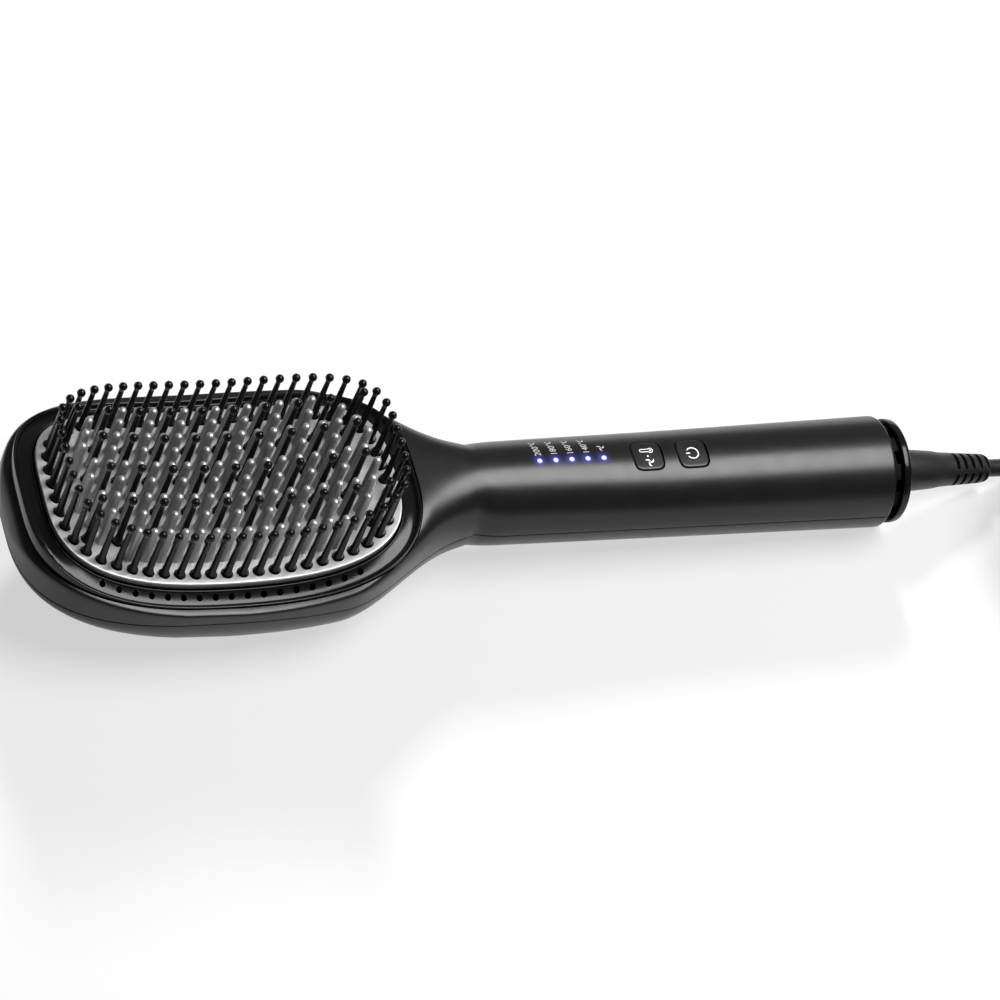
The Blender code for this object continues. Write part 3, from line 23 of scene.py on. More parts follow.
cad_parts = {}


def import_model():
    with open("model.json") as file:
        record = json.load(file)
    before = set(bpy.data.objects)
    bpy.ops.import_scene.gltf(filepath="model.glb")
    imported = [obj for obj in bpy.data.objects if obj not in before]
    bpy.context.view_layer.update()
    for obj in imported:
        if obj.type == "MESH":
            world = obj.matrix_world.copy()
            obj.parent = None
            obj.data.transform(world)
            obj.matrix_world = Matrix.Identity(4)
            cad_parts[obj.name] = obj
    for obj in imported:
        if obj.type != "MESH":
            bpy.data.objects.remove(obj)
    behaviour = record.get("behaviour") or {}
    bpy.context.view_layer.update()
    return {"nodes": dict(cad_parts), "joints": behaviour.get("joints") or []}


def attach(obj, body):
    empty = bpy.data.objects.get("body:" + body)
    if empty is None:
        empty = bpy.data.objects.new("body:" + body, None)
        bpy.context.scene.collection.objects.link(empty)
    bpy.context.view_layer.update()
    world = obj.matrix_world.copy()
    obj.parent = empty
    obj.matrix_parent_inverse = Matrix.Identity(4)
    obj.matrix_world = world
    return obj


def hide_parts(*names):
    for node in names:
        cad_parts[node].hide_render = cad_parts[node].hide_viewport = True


LOG = logging.getLogger("hot_air_brush")

Array = NDArray[np.float64]
Pair = tuple[float, float]
Triple = tuple[float, float, float]
Profile = Array | Sequence[Pair]
Piece = bpy.types.Object
Tree = bpy.types.NodeTree
Node = bpy.types.Node
Socket = bpy.types.NodeSocket

FIT_GAP = 0.0003
REACH_THROUGH = 0.0100
SAME_PLACE = 1e-6
TENTH_MM = 0.0001
SQUARE = np.array([[-1.0, -1.0], [1.0, -1.0], [1.0, 1.0], [-1.0, 1.0]])


class Body(Enum):
    """The bodies of the part that pieces ride on."""

    BRUSH = "brush"
    POWER_BUTTON = "power_button"
    MODE_BUTTON = "mode_button"
    CORD_END = "cord_end"


class Cut(Enum):
    """What a Boolean does with its other shape."""

    AWAY = "DIFFERENCE"
    JOINED = "UNION"


# Numbers and curves


def ease(share: Array | float) -> Array:
    """A smooth step from 0 to 1, which starts and ends level."""
    s = np.clip(share, 0.0, 1.0)
    return s * s * (3 - 2 * s)


def signed_power(value: Array, exponent: float) -> Array:
    """The size of a value raised to an exponent, with the value's sign."""
    return np.sign(value) * np.abs(value) ** exponent


def arc_rise(x: Array | float, radius: float) -> Array:
    """How far an arc of the radius has risen at x from its lowest place at 0."""
    return radius - np.sqrt(radius**2 - np.square(x))


def oval_share(x: Array | float, reach: Array | float, power: float) -> Array:
    """The share of its full width that an oval of this reach and power has at x."""
    share = np.minimum(np.abs(x) / reach, 1.0)
    return (1 - share**power) ** (1 / power)


def unit(vector: Array) -> Array:
    """The vector at length 1."""
    return vector / np.linalg.norm(vector)


def round_turn(steps: int) -> Array:
    """Evenly spaced angles of one full turn."""
    return math.tau * np.arange(steps) / steps


def circle(angle: Array, radius: Array | float = 1.0) -> Array:
    """The points (radius cos t, radius sin t) at the angles."""
    return np.stack([radius * np.cos(angle), radius * np.sin(angle)], -1)


def squared_circle(angle: Array, power: float) -> Array:
    """The points (sgn cos t |cos t|^(2/power), the same with sin) at the angles."""
    return signed_power(circle(angle), 2 / power)


def turn_about(axis: str, angle: float) -> Array:
    """The 3 by 3 matrix that turns about an axis."""
    return np.array(Matrix.Rotation(angle, 3, axis))


def lengths_along(points: Array) -> Array:
    """How far along its path each point lies."""
    step = np.linalg.norm(np.diff(points, axis=0), axis=1)
    return np.concatenate([[0.0], np.cumsum(step)])


def eased_corners(outline: Array, radii: Array | float, steps: int = 5) -> Array:
    """A closed outline with each corner rounded.

    Each corner becomes a parabola that leaves one side and meets the next at the corner's
    radius from it: (1-t)^2 times the first, 2t(1-t) times the corner, t^2 times the last.

    Args:
        outline: The corners in order, one row each.
        radii: The reach of each corner's rounding along its two sides, or one for all.
        steps: How many points each corner becomes.

    Returns:
        The rounded outline, steps points a corner.
    """
    back = np.roll(outline, 1, axis=0) - outline
    ahead = np.roll(outline, -1, axis=0) - outline
    radii = np.broadcast_to(radii, len(outline))[:, None]
    first, last = (
        outline + side * np.minimum(radii / np.linalg.norm(side, axis=1, keepdims=True), 0.5)
        for side in (back, ahead)
    )
    t = np.linspace(0, 1, steps)[None, :, None]
    curve = (1 - t) ** 2 * first[:, None] + 2 * t * (1 - t) * outline[:, None]
    return (curve + t**2 * last[:, None]).reshape(-1, outline.shape[1])


def hermite(start: Array, start_way: Array, end: Array, end_way: Array, count: int) -> Array:
    """A smooth curve between two places with given end slopes.

    Args:
        start: Where it starts.
        start_way: Its slope there.
        end: Where it ends.
        end_way: Its slope there.
        count: How many steps it has.

    Returns:
        Its count + 1 points, by the cubic Hermite formula.
    """
    t = np.linspace(0, 1, count + 1)[:, None]
    from_start = (2 * t**3 - 3 * t**2 + 1) * start + (t**3 - 2 * t**2 + t) * start_way
    return from_start + (3 * t**2 - 2 * t**3) * end + (t**3 - t**2) * end_way


# Surfaces


@dataclass
class Surface:
    """Points, and faces as arrays of point indices, one array for each count of corners."""

    points: Array
    faces: list[NDArray[np.int64]]

    def moved(self, turn: Array, to: Array) -> Surface:
        """The surface turned by a 3 by 3 matrix, then moved."""
        return Surface(self.points @ turn.T + to, self.faces)

    def shifted(self, x: float = 0.0, y: float = 0.0, z: float = 0.0) -> Surface:
        """The surface moved along the axes."""
        return Surface(self.points + [x, y, z], self.faces)

    def repeated(self, places: Array | Sequence[Triple]) -> Surface:
        """One copy at each place, as whole arrays: points and face indices are offset."""
        places = np.asarray(places, float)
        points = (places[:, None, :] + self.points[None]).reshape(-1, 3)
        offsets = np.arange(len(places))[:, None, None] * len(self.points)
        faces = [(face[None] + offsets).reshape(-1, face.shape[1]) for face in self.faces]
        return Surface(points, faces)

    @staticmethod
    def joined(parts: Sequence[Surface]) -> Surface:
        """Several surfaces as one."""
        starts = np.cumsum([0, *(len(part.points) for part in parts)])
        faces = [face + start for part, start in zip(parts, starts) for face in part.faces]
        return Surface(np.concatenate([part.points for part in parts]), faces)


def grid(points: Array, ring: bool = False, tube: bool = True, caps: bool = True) -> Surface:
    """Quads over a grid of points.

    Args:
        points: Rows by columns by 3.
        ring: Whether the last row joins the first.
        tube: Whether the last column joins the first.
        caps: Whether a tube's first and last rows are closed by one face each.

    Returns:
        The surface.
    """
    rows, columns = points.shape[:2]
    index = np.arange(rows * columns).reshape(rows, columns)
    ends = [index[:1], index[-1:]]
    if ring:
        index = np.concatenate([index, index[:1]])
    if tube:
        index = np.concatenate([index, index[:, :1]], axis=1)
    corners = [index[:-1, :-1], index[:-1, 1:], index[1:, 1:], index[1:, :-1]]
    faces = [np.stack(corners, axis=-1).reshape(-1, 4)]
    if tube and caps and not ring:
        faces += ends
    return Surface(points.reshape(-1, 3), faces)


def turned(profile: Profile, steps: int, first: float = 0.0, caps: bool = False) -> Surface:
    """A profile carried round the X axis.

    A point at turn t is (x, radius cos t, radius sin t), and a row at radius 0 is a pole,
    which the mesh closes.

    Args:
        profile: Rows of (x, radius).
        steps: How many points one turn has.
        first: The turn of the first point.
        caps: Whether the first and last rows are closed by one face each.

    Returns:
        The surface.
    """
    profile = np.asarray(profile, float)
    x = np.repeat(profile[:, :1], steps, axis=1)
    return grid(np.dstack([x, circle(round_turn(steps) + first, profile[:, 1:])]), caps=caps)


def rows_from(level: float, rows: Profile) -> list[Pair]:
    """A profile's rows, with their first numbers measured from a level."""
    return [(level + past, radius) for past, radius in rows]


def upright(profile: Profile, sides: int) -> Surface:
    """A closed upright strand whose profile's rows are (height, radius)."""
    strand = turned(profile, sides, math.pi / sides, caps=True)
    return Surface(np.roll(strand.points, -1, axis=1), strand.faces)


def rod(low: float, high: float, radius: float, sides: int = 32) -> Surface:
    """A closed upright rod between two heights."""
    return upright([(low, radius), (high, radius)], sides)


def prism(outline: Array, low: float, high: float) -> Surface:
    """A closed outline in X and Y, carried straight up from one height to another."""
    return grid(np.array([np.insert(outline, 2, level, axis=1) for level in (low, high)]))


def squared_slab(half: float, power: float, profile: Array, steps: int = 96) -> Surface:
    """A rounded square carried up a profile of (height, inset from the square's side)."""
    flat = (half - profile[:, 1:])[..., None] * squared_circle(round_turn(steps), power)
    return grid(np.dstack([flat, np.repeat(profile[:, :1], steps, axis=1)]))


def ribbon(
    path: Array, width: Array | float, thickness: float, closed: bool = False
) -> Surface:
    """A flat stroke of a drawn mark: a path in X and Y, with one width or one at each point.

    Each row is a flat rectangle across the path, from its normal times half the width.
    """
    ahead = np.gradient(path, axis=0)
    if closed:
        ahead = np.roll(path, -1, axis=0) - np.roll(path, 1, axis=0)
    ahead = ahead / np.linalg.norm(ahead, axis=1, keepdims=True)
    side = (np.stack([-ahead[:, 1], ahead[:, 0]]) * width).T / 2
    corners = ((1, 0.0), (-1, 0.0), (-1, -thickness), (1, -thickness))
    rows = [np.insert(path + sign * side, 2, height, axis=1) for sign, height in corners]
    return grid(np.stack(rows, 1), ring=closed)


# Making pieces


def add_object(name: str, data: bpy.types.ID) -> Piece:
    """An object with the data, linked to the scene at the origin and unturned."""
    added = bpy.data.objects.new(name, data)
    bpy.context.scene.collection.objects.link(added)
    return added


def piece_of(name: str, surface: Surface) -> Piece:
    """The surface as an object, with its doubles merged and its faces turned outwards."""
    mesh = bpy.data.meshes.new(name)
    faces = [row for face in surface.faces for row in face.tolist()]
    mesh.from_pydata(surface.points.tolist(), [], faces)
    work = bmesh.new()
    work.from_mesh(mesh)
    bmesh.ops.remove_doubles(work, verts=work.verts, dist=SAME_PLACE)
    bmesh.ops.recalc_face_normals(work, faces=work.faces)
    work.to_mesh(mesh)
    work.free()
    return add_object(name, mesh)


def evaluated_mesh(shown: Piece) -> bpy.types.Mesh:
    """The shape of an object with its modifiers, as a mesh of its own."""
    graph = bpy.context.evaluated_depsgraph_get()
    return bpy.data.meshes.new_from_object(shown.evaluated_get(graph))


def carve(piece: Piece, how: Cut, *others: Surface) -> None:
    """Cuts the other closed shapes out of a piece's mesh, or joins them to it."""
    for k, other in enumerate(others):
        helper = piece_of(f"{piece.name}_other_{k}", other)
        modifier = piece.modifiers.new(how.name, "BOOLEAN")
        modifier.operation = how.value
        modifier.solver = "EXACT"
        modifier.object = helper
        mesh = evaluated_mesh(piece)
        piece.modifiers.remove(modifier)
        piece.data = mesh
        bpy.data.objects.remove(helper)


def smooth(piece: Piece, sharp_from: float, weigh: bool) -> None:
    """Smooth shading, with edges sharp from an angle in degrees."""
    piece.data.shade_smooth()
    piece.data.set_sharp_from_angle(angle=math.radians(sharp_from))
    if weigh:
        modifier = piece.modifiers.new("large faces lead", "WEIGHTED_NORMAL")
        modifier.keep_sharp = True


@dataclass(frozen=True)
class RestPose:
    """Where the brush's own frame stands when the brush lies on the floor."""

    turn: Array
    origin: Array

    @classmethod
    def from_fan_joint(cls, joint: dict, fan_x: float) -> RestPose:
        """The pose worked out from the fan's joint, whose axis is the handle's.

        Args:
            joint: The joint's row of the record.
            fan_x: The fan's place along the handle.

        Returns:
            The pose: X along the axis, Y level across it.
        """
        along = unit(np.array(joint["axis"], float))
        across = np.array([0.0, 1.0, 0.0])
        turn = np.column_stack([along, across, np.cross(along, across)])
        return cls(turn, np.array(joint["pos_m"], float) - fan_x * along)

    def place(self, surface: Surface) -> Surface:
        """A surface of the brush's own frame, moved to where the brush lies."""
        return surface.moved(self.turn, self.origin)

    def point(self, point: Sequence[float]) -> Array:
        """A point of the brush's own frame, in the part's frame."""
        return self.turn @ np.array(point, float) + self.origin

    def piece(self, name: str, surface: Surface) -> Piece:
        """A surface of the brush's own frame, as a piece where the brush lies."""
        return piece_of(name, self.place(surface))

    def carve(self, piece: Piece, how: Cut, *others: Surface) -> None:
        """Cuts out or joins shapes of the brush's own frame."""
        carve(piece, how, *map(self.place, others))

    def settle(self, piece: Piece, place: Sequence[float], turn: Array) -> None:
        """Turns the mesh of a piece that was made at 0, and moves it to its place."""
        to_world = Matrix(self.turn @ turn).to_4x4()
        to_world.translation = self.point(place).tolist()
        piece.data.transform(to_world)


def dress(piece: Piece, finish: Finish) -> None:
    """Gives a piece its finish."""
    piece.data.materials.clear()
    piece.data.materials.append(finish.material())


def hand_over(
    piece: Piece,
    finish: Finish,
    body: Body,
    replaced: Sequence[str] = (),
    sharp_from: float = 0.0,
    weigh: bool = False,
) -> Piece:
    """Smooths and dresses a piece, lets it ride on its body and reports it.

    Args:
        piece: The piece, with its final shape.
        finish: Its finish.
        body: The body that it moves with.
        replaced: The nodes that it stands for.
        sharp_from: The least angle between faces, in degrees, that stays sharp. At 0 the
            piece keeps its flat faces.
        weigh: Whether large faces lead the shading, as cut faces need.

    Returns:
        The piece.
    """
    if sharp_from:
        smooth(piece, sharp_from, weigh)
    dress(piece, finish)
    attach(piece, body.value)
    if replaced:
        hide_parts(*replaced)
    LOG.info("%s rides on %s, %s finish", piece.name, body.value, finish.name)
    return piece


# Finishes

SMEARS_A_BLOTCH = 2.5
SMEAR_RANGE = (0.3, 0.7)
LEAST_ROUGHNESS = 0.02


@dataclass(frozen=True)
class Finish:
    """A surface finish: colour with a soft mottle, uneven gloss and a fine grain.

    Sizes of the grain are in metres. All patterns read Object coordinates.
    """

    name: str
    colour: Triple
    roughness: float
    metallic: float = 0.0
    mottle: float = 0.12
    mottle_size: float = 0.014
    gloss_spread: float = 0.05
    grain_size: float = 0.00035
    grain_depth: float = 0.000012
    stretch: Triple = (1.0, 1.0, 1.0)
    specular: float = 0.5
    glow: float = 0.0
    glow_colour: Triple = (1.0, 1.0, 1.0)

    def material(self) -> bpy.types.Material:
        """The finish as a material, made once and shared by name."""
        known = bpy.data.materials.get(self.name)
        if known:
            return known
        material = bpy.data.materials.new(self.name)
        material.use_nodes = True
        tree = material.node_tree
        shader = tree.nodes["Principled BSDF"]
        wire(tree, shader, {"Metallic": self.metallic, "Specular IOR Level": self.specular})
        self.paint(tree, shader)
        if self.glow:
            lit = {"Emission Color": (*self.glow_colour, 1), "Emission Strength": self.glow}
            wire(tree, shader, lit)
        self.decorate(tree, shader)
        return material

    def coordinates(self, tree: Tree) -> Socket:
        """Object coordinates, stretched along an axis for a drawn or brushed finish."""
        place = add_node(tree, "TexCoord").outputs["Object"]
        inputs = {"Vector": place, "Scale": self.stretch}
        return add_node(tree, "Mapping", inputs).outputs["Vector"]

    def paint(self, tree: Tree, shader: Node) -> None:
        """Wires colour, roughness and grain to the shader from three noises."""
        vector = self.coordinates(tree)
        shades = (1 - self.mottle, 1 + self.mottle)
        dark, light = ((*(min(c * shade, 1.0) for c in self.colour), 1) for shade in shades)
        blotches = noise(tree, vector, 1 / self.mottle_size, detail=3)
        inputs = {"Factor": blotches, "A": dark, "B": light}
        tint = add_node(tree, "Mix", inputs, data_type="RGBA")
        inputs = {
            "Value": noise(tree, vector, SMEARS_A_BLOTCH / self.mottle_size, detail=5),
            "From Min": SMEAR_RANGE[0],
            "From Max": SMEAR_RANGE[1],
            "To Min": max(self.roughness - self.gloss_spread, LEAST_ROUGHNESS),
            "To Max": self.roughness + self.gloss_spread,
        }
        gloss = add_node(tree, "MapRange", inputs)
        grain = noise(tree, vector, 1 / self.grain_size, detail=2)
        bump = add_node(tree, "Bump", {"Distance": self.grain_depth, "Height": grain})
        inputs = {
            "Base Color": tint.outputs["Result"],
            "Roughness": gloss.outputs["Result"],
            "Normal": bump.outputs["Normal"],
        }
        wire(tree, shader, inputs)

    def decorate(self, tree: Tree, shader: Node) -> None:
        """What a kind of finish adds; plain finishes add nothing."""


def wire(tree: Tree, node: Node, inputs: Mapping[str | int, object]) -> None:
    """Sets each named input of a node to its value, or links its socket to it."""
    for name, value in inputs.items():
        if isinstance(value, Socket):
            tree.links.new(value, node.inputs[name])
        else:
            node.inputs[name].default_value = value


def add_node(
    tree: Tree,
    kind: str,
    inputs: Mapping[str | int, object] | None = None,
    **settings: str,
) -> Node:
    """A new shader node, with its settings made and its inputs wired.

    Args:
        tree: The tree that it joins.
        kind: Its kind, without the ShaderNode in front.
        inputs: A value or a socket for each input.
        settings: Its other settings.

    Returns:
        The node.
    """
    node = tree.nodes.new(f"ShaderNode{kind}")
    for name, value in settings.items():
        setattr(node, name, value)
    wire(tree, node, inputs or {})
    return node


def noise(tree: Tree, vector: Socket, scale: float, detail: float) -> Socket:
    """A noise over the coordinates, as a value from 0 to 1."""
    inputs = {"Vector": vector, "Scale": scale, "Detail": detail}
    return add_node(tree, "TexNoise", inputs).outputs["Fac"]


def maths(tree: Tree, how: str, *values: object) -> Socket:
    """A maths node's result, from sockets and plain numbers."""
    return add_node(tree, "Math", dict(enumerate(values)), operation=how).outputs[0]


@dataclass(frozen=True)
class PaintedGlowFinish(Finish):
    """A finish with a painted glow round each lamp of a row.

    The painted glow is emission that stands in for the lamps' light shining through; at a place it
    is base + strength e^(-(distance to the nearest lamp / halo)^2).
    """

    first_lamp: Triple = (0.0, 0.0, 0.0)
    lamp_pitch: float = 0.005
    lamps: int = 5
    halo: float = 0.0015
    halo_strength: float = 0.5
    halo_base: float = 0.0
    halo_colour: Triple = (0.10, 0.12, 1.0)

    def decorate(self, tree: Tree, shader: Node) -> None:
        """Adds the painted glow to the shader's emission."""
        place = add_node(tree, "TexCoord").outputs["Object"]
        x, y, z = add_node(tree, "SeparateXYZ", {0: place}).outputs
        along = maths(tree, "SUBTRACT", x, self.first_lamp[0])
        nearest = maths(tree, "ROUND", maths(tree, "DIVIDE", along, self.lamp_pitch))
        nearest = maths(tree, "MINIMUM", maths(tree, "MAXIMUM", nearest, 0.0), self.lamps - 1)
        past = maths(tree, "SUBTRACT", along, maths(tree, "MULTIPLY", nearest, self.lamp_pitch))
        square = maths(tree, "ADD", maths(tree, "POWER", past, 2.0), maths(tree, "POWER", y, 2.0))
        # painted glow: emission that falls off from each lamp's place, standing in for its light
        glow = maths(tree, "EXPONENT", maths(tree, "DIVIDE", square, -self.halo**2))
        above = maths(tree, "GREATER_THAN", z, self.first_lamp[2])
        strength = maths(tree, "MULTIPLY", maths(tree, "MULTIPLY", glow, above), self.halo_strength)
        inputs = {
            "Emission Color": (*self.halo_colour, 1),
            "Emission Strength": maths(tree, "ADD", strength, self.halo_base),
        }
        wire(tree, shader, inputs)


@dataclass(frozen=True)
class BoardFinish(Finish):
    """A coated circuit board with copper lanes that show as lighter squares and lines."""

    lane_pitch: float = 0.0012
    lane_width: float = 0.12
    second_shade: float = 0.7
    copper: Triple = (0.05, 0.22, 0.10)

    def decorate(self, tree: Tree, shader: Node) -> None:
        """Lays lanes of lighter green over the board's colour."""
        inputs = {
            "Vector": self.coordinates(tree),
            "Scale": 1 / self.lane_pitch,
            "Color1": (*self.colour, 1),
            "Color2": (*(c * self.second_shade for c in self.colour), 1),
            "Mortar": (*self.copper, 1),
            "Mortar Size": self.lane_width,
        }
        bricks = add_node(tree, "TexBrick", inputs)
        wire(tree, shader, {"Base Color": bricks.outputs["Color"]})


@dataclass(frozen=True)
class WovenFinish(Finish):
    """A strap's hook-and-loop weave, as two crossed waves in its relief."""

    thread: float = 0.0005
    relief: float = 0.00012
    waver: float = 0.6

    def decorate(self, tree: Tree, shader: Node) -> None:
        """Puts the weave into the shader's normal. At scale 1 a wave is about 0.3 wide."""
        scale = 0.3 / self.thread
        inputs = {"Vector": self.coordinates(tree), "Scale": scale, "Distortion": self.waver}
        waves = [
            add_node(tree, "TexWave", inputs, bands_direction=way).outputs["Fac"] for way in "XZ"
        ]
        inputs = {"Distance": self.relief, "Height": maths(tree, "MULTIPLY", *waves)}
        wire(tree, shader, {"Normal": add_node(tree, "Bump", inputs).outputs["Normal"]})


GLOSS_BLACK = Finish(
    "polished black", (0.004, 0.004, 0.0045), 0.14, gloss_spread=0.03, specular=0.26
)
PIN_BLACK = Finish("pin black", (0.0035, 0.0035, 0.004), 0.20, gloss_spread=0.04, specular=0.30)
BUTTON_BLACK = Finish("button satin black", (0.006, 0.006, 0.0065), 0.32, grain_size=0.0002)
DEEP_BLACK = Finish("deep black", (0.002, 0.002, 0.002), 0.6, specular=0.12)
RUBBER_BLACK = Finish(
    "cord rubber", (0.010, 0.010, 0.0105), 0.42, grain_size=0.0003, grain_depth=0.00002
)
PLATE_SILVER = Finish(
    "satin silver",
    (0.54, 0.54, 0.54),
    0.45,
    metallic=0.9,
    mottle=0.03,
    mottle_size=0.006,
    gloss_spread=0.02,
    grain_size=0.0004,
    grain_depth=0.000002,
)
STEEL = Finish(
    "turned steel", (0.52, 0.52, 0.54), 0.28, metallic=1.0, mottle=0.06, stretch=(1, 6, 1)
)
NICKEL = Finish("bright nickel", (0.72, 0.70, 0.66), 0.14, metallic=1.0, mottle=0.04)
MOTOR_STEEL = Finish(
    "drawn motor can", (0.55, 0.55, 0.57), 0.26, metallic=1.0, stretch=(0.2, 4, 4)
)
CERAMIC = Finish(
    "dry ceramic", (0.76, 0.74, 0.69), 0.7, mottle=0.06, grain_size=0.0005, grain_depth=0.00004
)
MICA = Finish("mica flakes", (0.45, 0.33, 0.18), 0.45, mottle=0.35, mottle_size=0.0025)
SHIELD_BOARD = Finish(
    "pressed fibre board", (0.42, 0.40, 0.36), 0.75, mottle=0.18, mottle_size=0.003
)
INNER_BLACK = Finish("inner moulding", (0.03, 0.03, 0.03), 0.5)
SWITCH_GREY = Finish("switch moulding", (0.06, 0.06, 0.06), 0.45)
GLAZED_WHITE = Finish("glazed white", (0.80, 0.78, 0.70), 0.2, mottle=0.05)
WIRE_SLEEVE = Finish("heat-proof sleeve", (0.50, 0.50, 0.48), 0.6, stretch=(1, 5, 5))
LAMP_CHIP = Finish("lamp chip", (0.75, 0.85, 1.0), 0.3, glow=2.0, glow_colour=(0.5, 0.6, 1.0))
LENS_CLEAR = Finish("clear bar", (0.75, 0.78, 0.85), 0.15, mottle=0.03)
ICON_WHITE = Finish("white print", (0.72, 0.72, 0.72), 0.5, mottle=0.05)
FIGURE_GREY = Finish("grey print", (0.30, 0.30, 0.29), 0.5, mottle=0.08)
CIRCUIT = BoardFinish("circuit board", (0.02, 0.12, 0.05), 0.4)
STRAP = WovenFinish("woven strap", (0.012, 0.012, 0.012), 0.85)


# The housing


@dataclass
class HousingForm:
    """The outer form of head, neck and handle, as functions of the place along X."""

    head_half_length: float = 0.0636
    head_half_width: float = 0.0400
    head_outline_power: float = 2.9
    head_neck_reach: float = 0.0812
    neck_outline_power: float = 2.45
    side_power: float = 14.0
    back_power: float = 2.4
    face_tip_power: float = 3.5
    back_tip_power: float = 1.65
    back_depth_most: float = 0.0238
    back_radius: float = 0.420
    face_radius: float = 0.177
    face_reach: float = 0.0614
    rim_height: float = 0.0046
    neck_from: float = 0.0345
    handle_from: float = 0.0920
    handle_end: float = 0.2200
    neck_radius: float = 0.0155
    end_radius: float = 0.01735
    crest_height: float = 0.0013
    crest_end: float = 0.1500
    end_edge: float = 0.0012
    seam_edge: float = 0.00022
    head_wall: float = 0.0040
    handle_wall: float = 0.0021
    back_wall: float = 0.0024

    def face_rise(self, x: Array | float) -> Array:
        """The rise of the brush face along its saddle, level again past the bezel."""
        return arc_rise(np.minimum(np.abs(x), self.face_reach), self.face_radius)

    def neck_share(self, x: Array | float) -> Array:
        """0 in the head, 1 in the handle."""
        return ease((x - self.neck_from) / (self.handle_from - self.neck_from))

    def handle_radius(self, x: Array | float) -> Array:
        """The handle's radius, which grows evenly towards its end."""
        share = (x - self.handle_from) / (self.handle_end - self.handle_from)
        return self.neck_radius + (self.end_radius - self.neck_radius) * np.maximum(share, 0)

    def blended(self, x: Array | float, head: Array, handle: Array) -> Array:
        """A measure of the head that becomes the handle's along the neck."""
        share = self.neck_share(x)
        return head * (1 - share) + handle * share

    def tip_share(self, x: Array | float, inset: Array | float, power: float) -> Array:
        """The share of its height that the head has at its round tip; 1 behind its middle."""
        tip = oval_share(x, self.head_half_length - inset, power)
        return np.where(np.asarray(x) < 0, tip, 1.0)

    def half_width(self, x: Array, inset: Array | float = 0.0) -> Array:
        """Half the housing's width, an oval in the head that blends into the handle."""
        tip = oval_share(x, self.head_half_length - inset, self.head_outline_power)
        neck = oval_share(x, self.head_neck_reach - inset, self.neck_outline_power)
        head = (self.head_half_width - inset) * np.where(x < 0, tip, neck)
        return self.blended(x, head, self.handle_radius(x) - inset)

    def top_height(self, x: Array | float, inset: Array | float = 0.0) -> Array:
        """The top line above the handle's axis."""
        head = self.rim_height + self.face_rise(x) - inset
        head = head * self.tip_share(x, inset, self.face_tip_power)
        fall = ease((x - self.handle_from) / (self.crest_end - self.handle_from))
        handle = self.handle_radius(x) + self.crest_height * (1 - fall) - inset
        return self.blended(x, head, handle)

    def back_depth(self, x: Array | float, inset: Array | float = 0.0) -> Array:
        """The bottom line below the handle's axis."""
        bow = arc_rise(np.minimum(np.abs(x), self.head_half_length), self.back_radius)
        head = self.back_depth_most - inset - bow
        head = head * self.tip_share(x, inset, self.back_tip_power)
        return self.blended(x, head, self.handle_radius(x) - inset)

    def roof(self, x: Array | float, y: Array | float) -> Array:
        """The handle's upper surface at a place, the height of its oval section."""
        across = np.clip(np.abs(y) / self.handle_radius(x), 0, 1)
        return self.top_height(x) * np.sqrt(1 - across**2)

    def stations(self) -> tuple[Array, Array]:
        """Places along X and end insets, close together at the rounded ends."""
        steep = np.radians(np.linspace(89.4, 8, 26))
        tip = -self.head_half_length * np.sin(steep) ** (2 / self.head_outline_power)
        neck = np.linspace(0, self.handle_from, 47)
        handle = np.linspace(self.handle_from, self.handle_end - self.end_edge, 34)[1:]
        turn = np.radians(np.linspace(15, 90, 6))
        edge = self.handle_end - self.end_edge * (1 - np.sin(turn))
        x = np.concatenate([tip, neck, handle, edge])
        inset = np.zeros(len(x))
        inset[-len(turn) :] = self.end_edge * (1 - np.cos(turn))
        return x, inset

    def arc(self, width: float, height: float, power: float, seam: float, count: int) -> Array:
        """Half a section as rows of (y, height above the seam plane).

        The half is (width sgn cos t |cos t|^(2/power), height sin t^(2/power)), with its
        points spaced half by length and half by angle, and a small round at the seam.
        """
        fine = np.linspace(0, math.pi, 721)

        def at(t: Array) -> Array:
            """The half section at the angles."""
            up = np.round(np.sin(t), 12) ** (2 / power)
            across = signed_power(np.round(np.cos(t), 12), 2 / power)
            return np.stack([width * across, seam + (height - seam) * up], -1)

        length = lengths_along(at(fine))
        share = (length / length[-1] + fine / math.pi) / 2
        half = at(np.interp(np.linspace(0, 1, count), share, fine))
        if not seam:
            return half
        low = np.radians([90, 60, 30])
        foot = np.stack([width - seam * (1 - np.cos(low)), seam * (1 - np.sin(low))], -1)
        return np.concatenate([foot, half, foot[::-1] * [-1, 1]])

    def power_at(self, x: float, head_power: float) -> float:
        """The section's power, from the head's to the handle's round."""
        share = float(self.neck_share(x))
        return 1 / ((1 - share) / head_power + share / 2)

    def outer_half(self, sign: int) -> Surface:
        """The upper (+1) or lower (-1) half of the outer form, closed at the seam."""
        head_power = self.side_power if sign > 0 else self.back_power
        height_at = self.top_height if sign > 0 else self.back_depth
        x, inset = self.stations()
        widths = self.half_width(x) - inset
        heights = height_at(x) - inset - FIT_GAP / 2
        rings = []
        for place, width, height in zip(x, widths, heights):
            seam = min(self.seam_edge, height / 4, width / 4)
            half = self.arc(width, height, self.power_at(place, head_power), seam, 97)
            up = sign * (half[:, 1] + FIT_GAP / 2)
            rings.append(np.stack([np.full(len(half), place), half[:, 0], up], -1))
        return grid(np.array(rings))

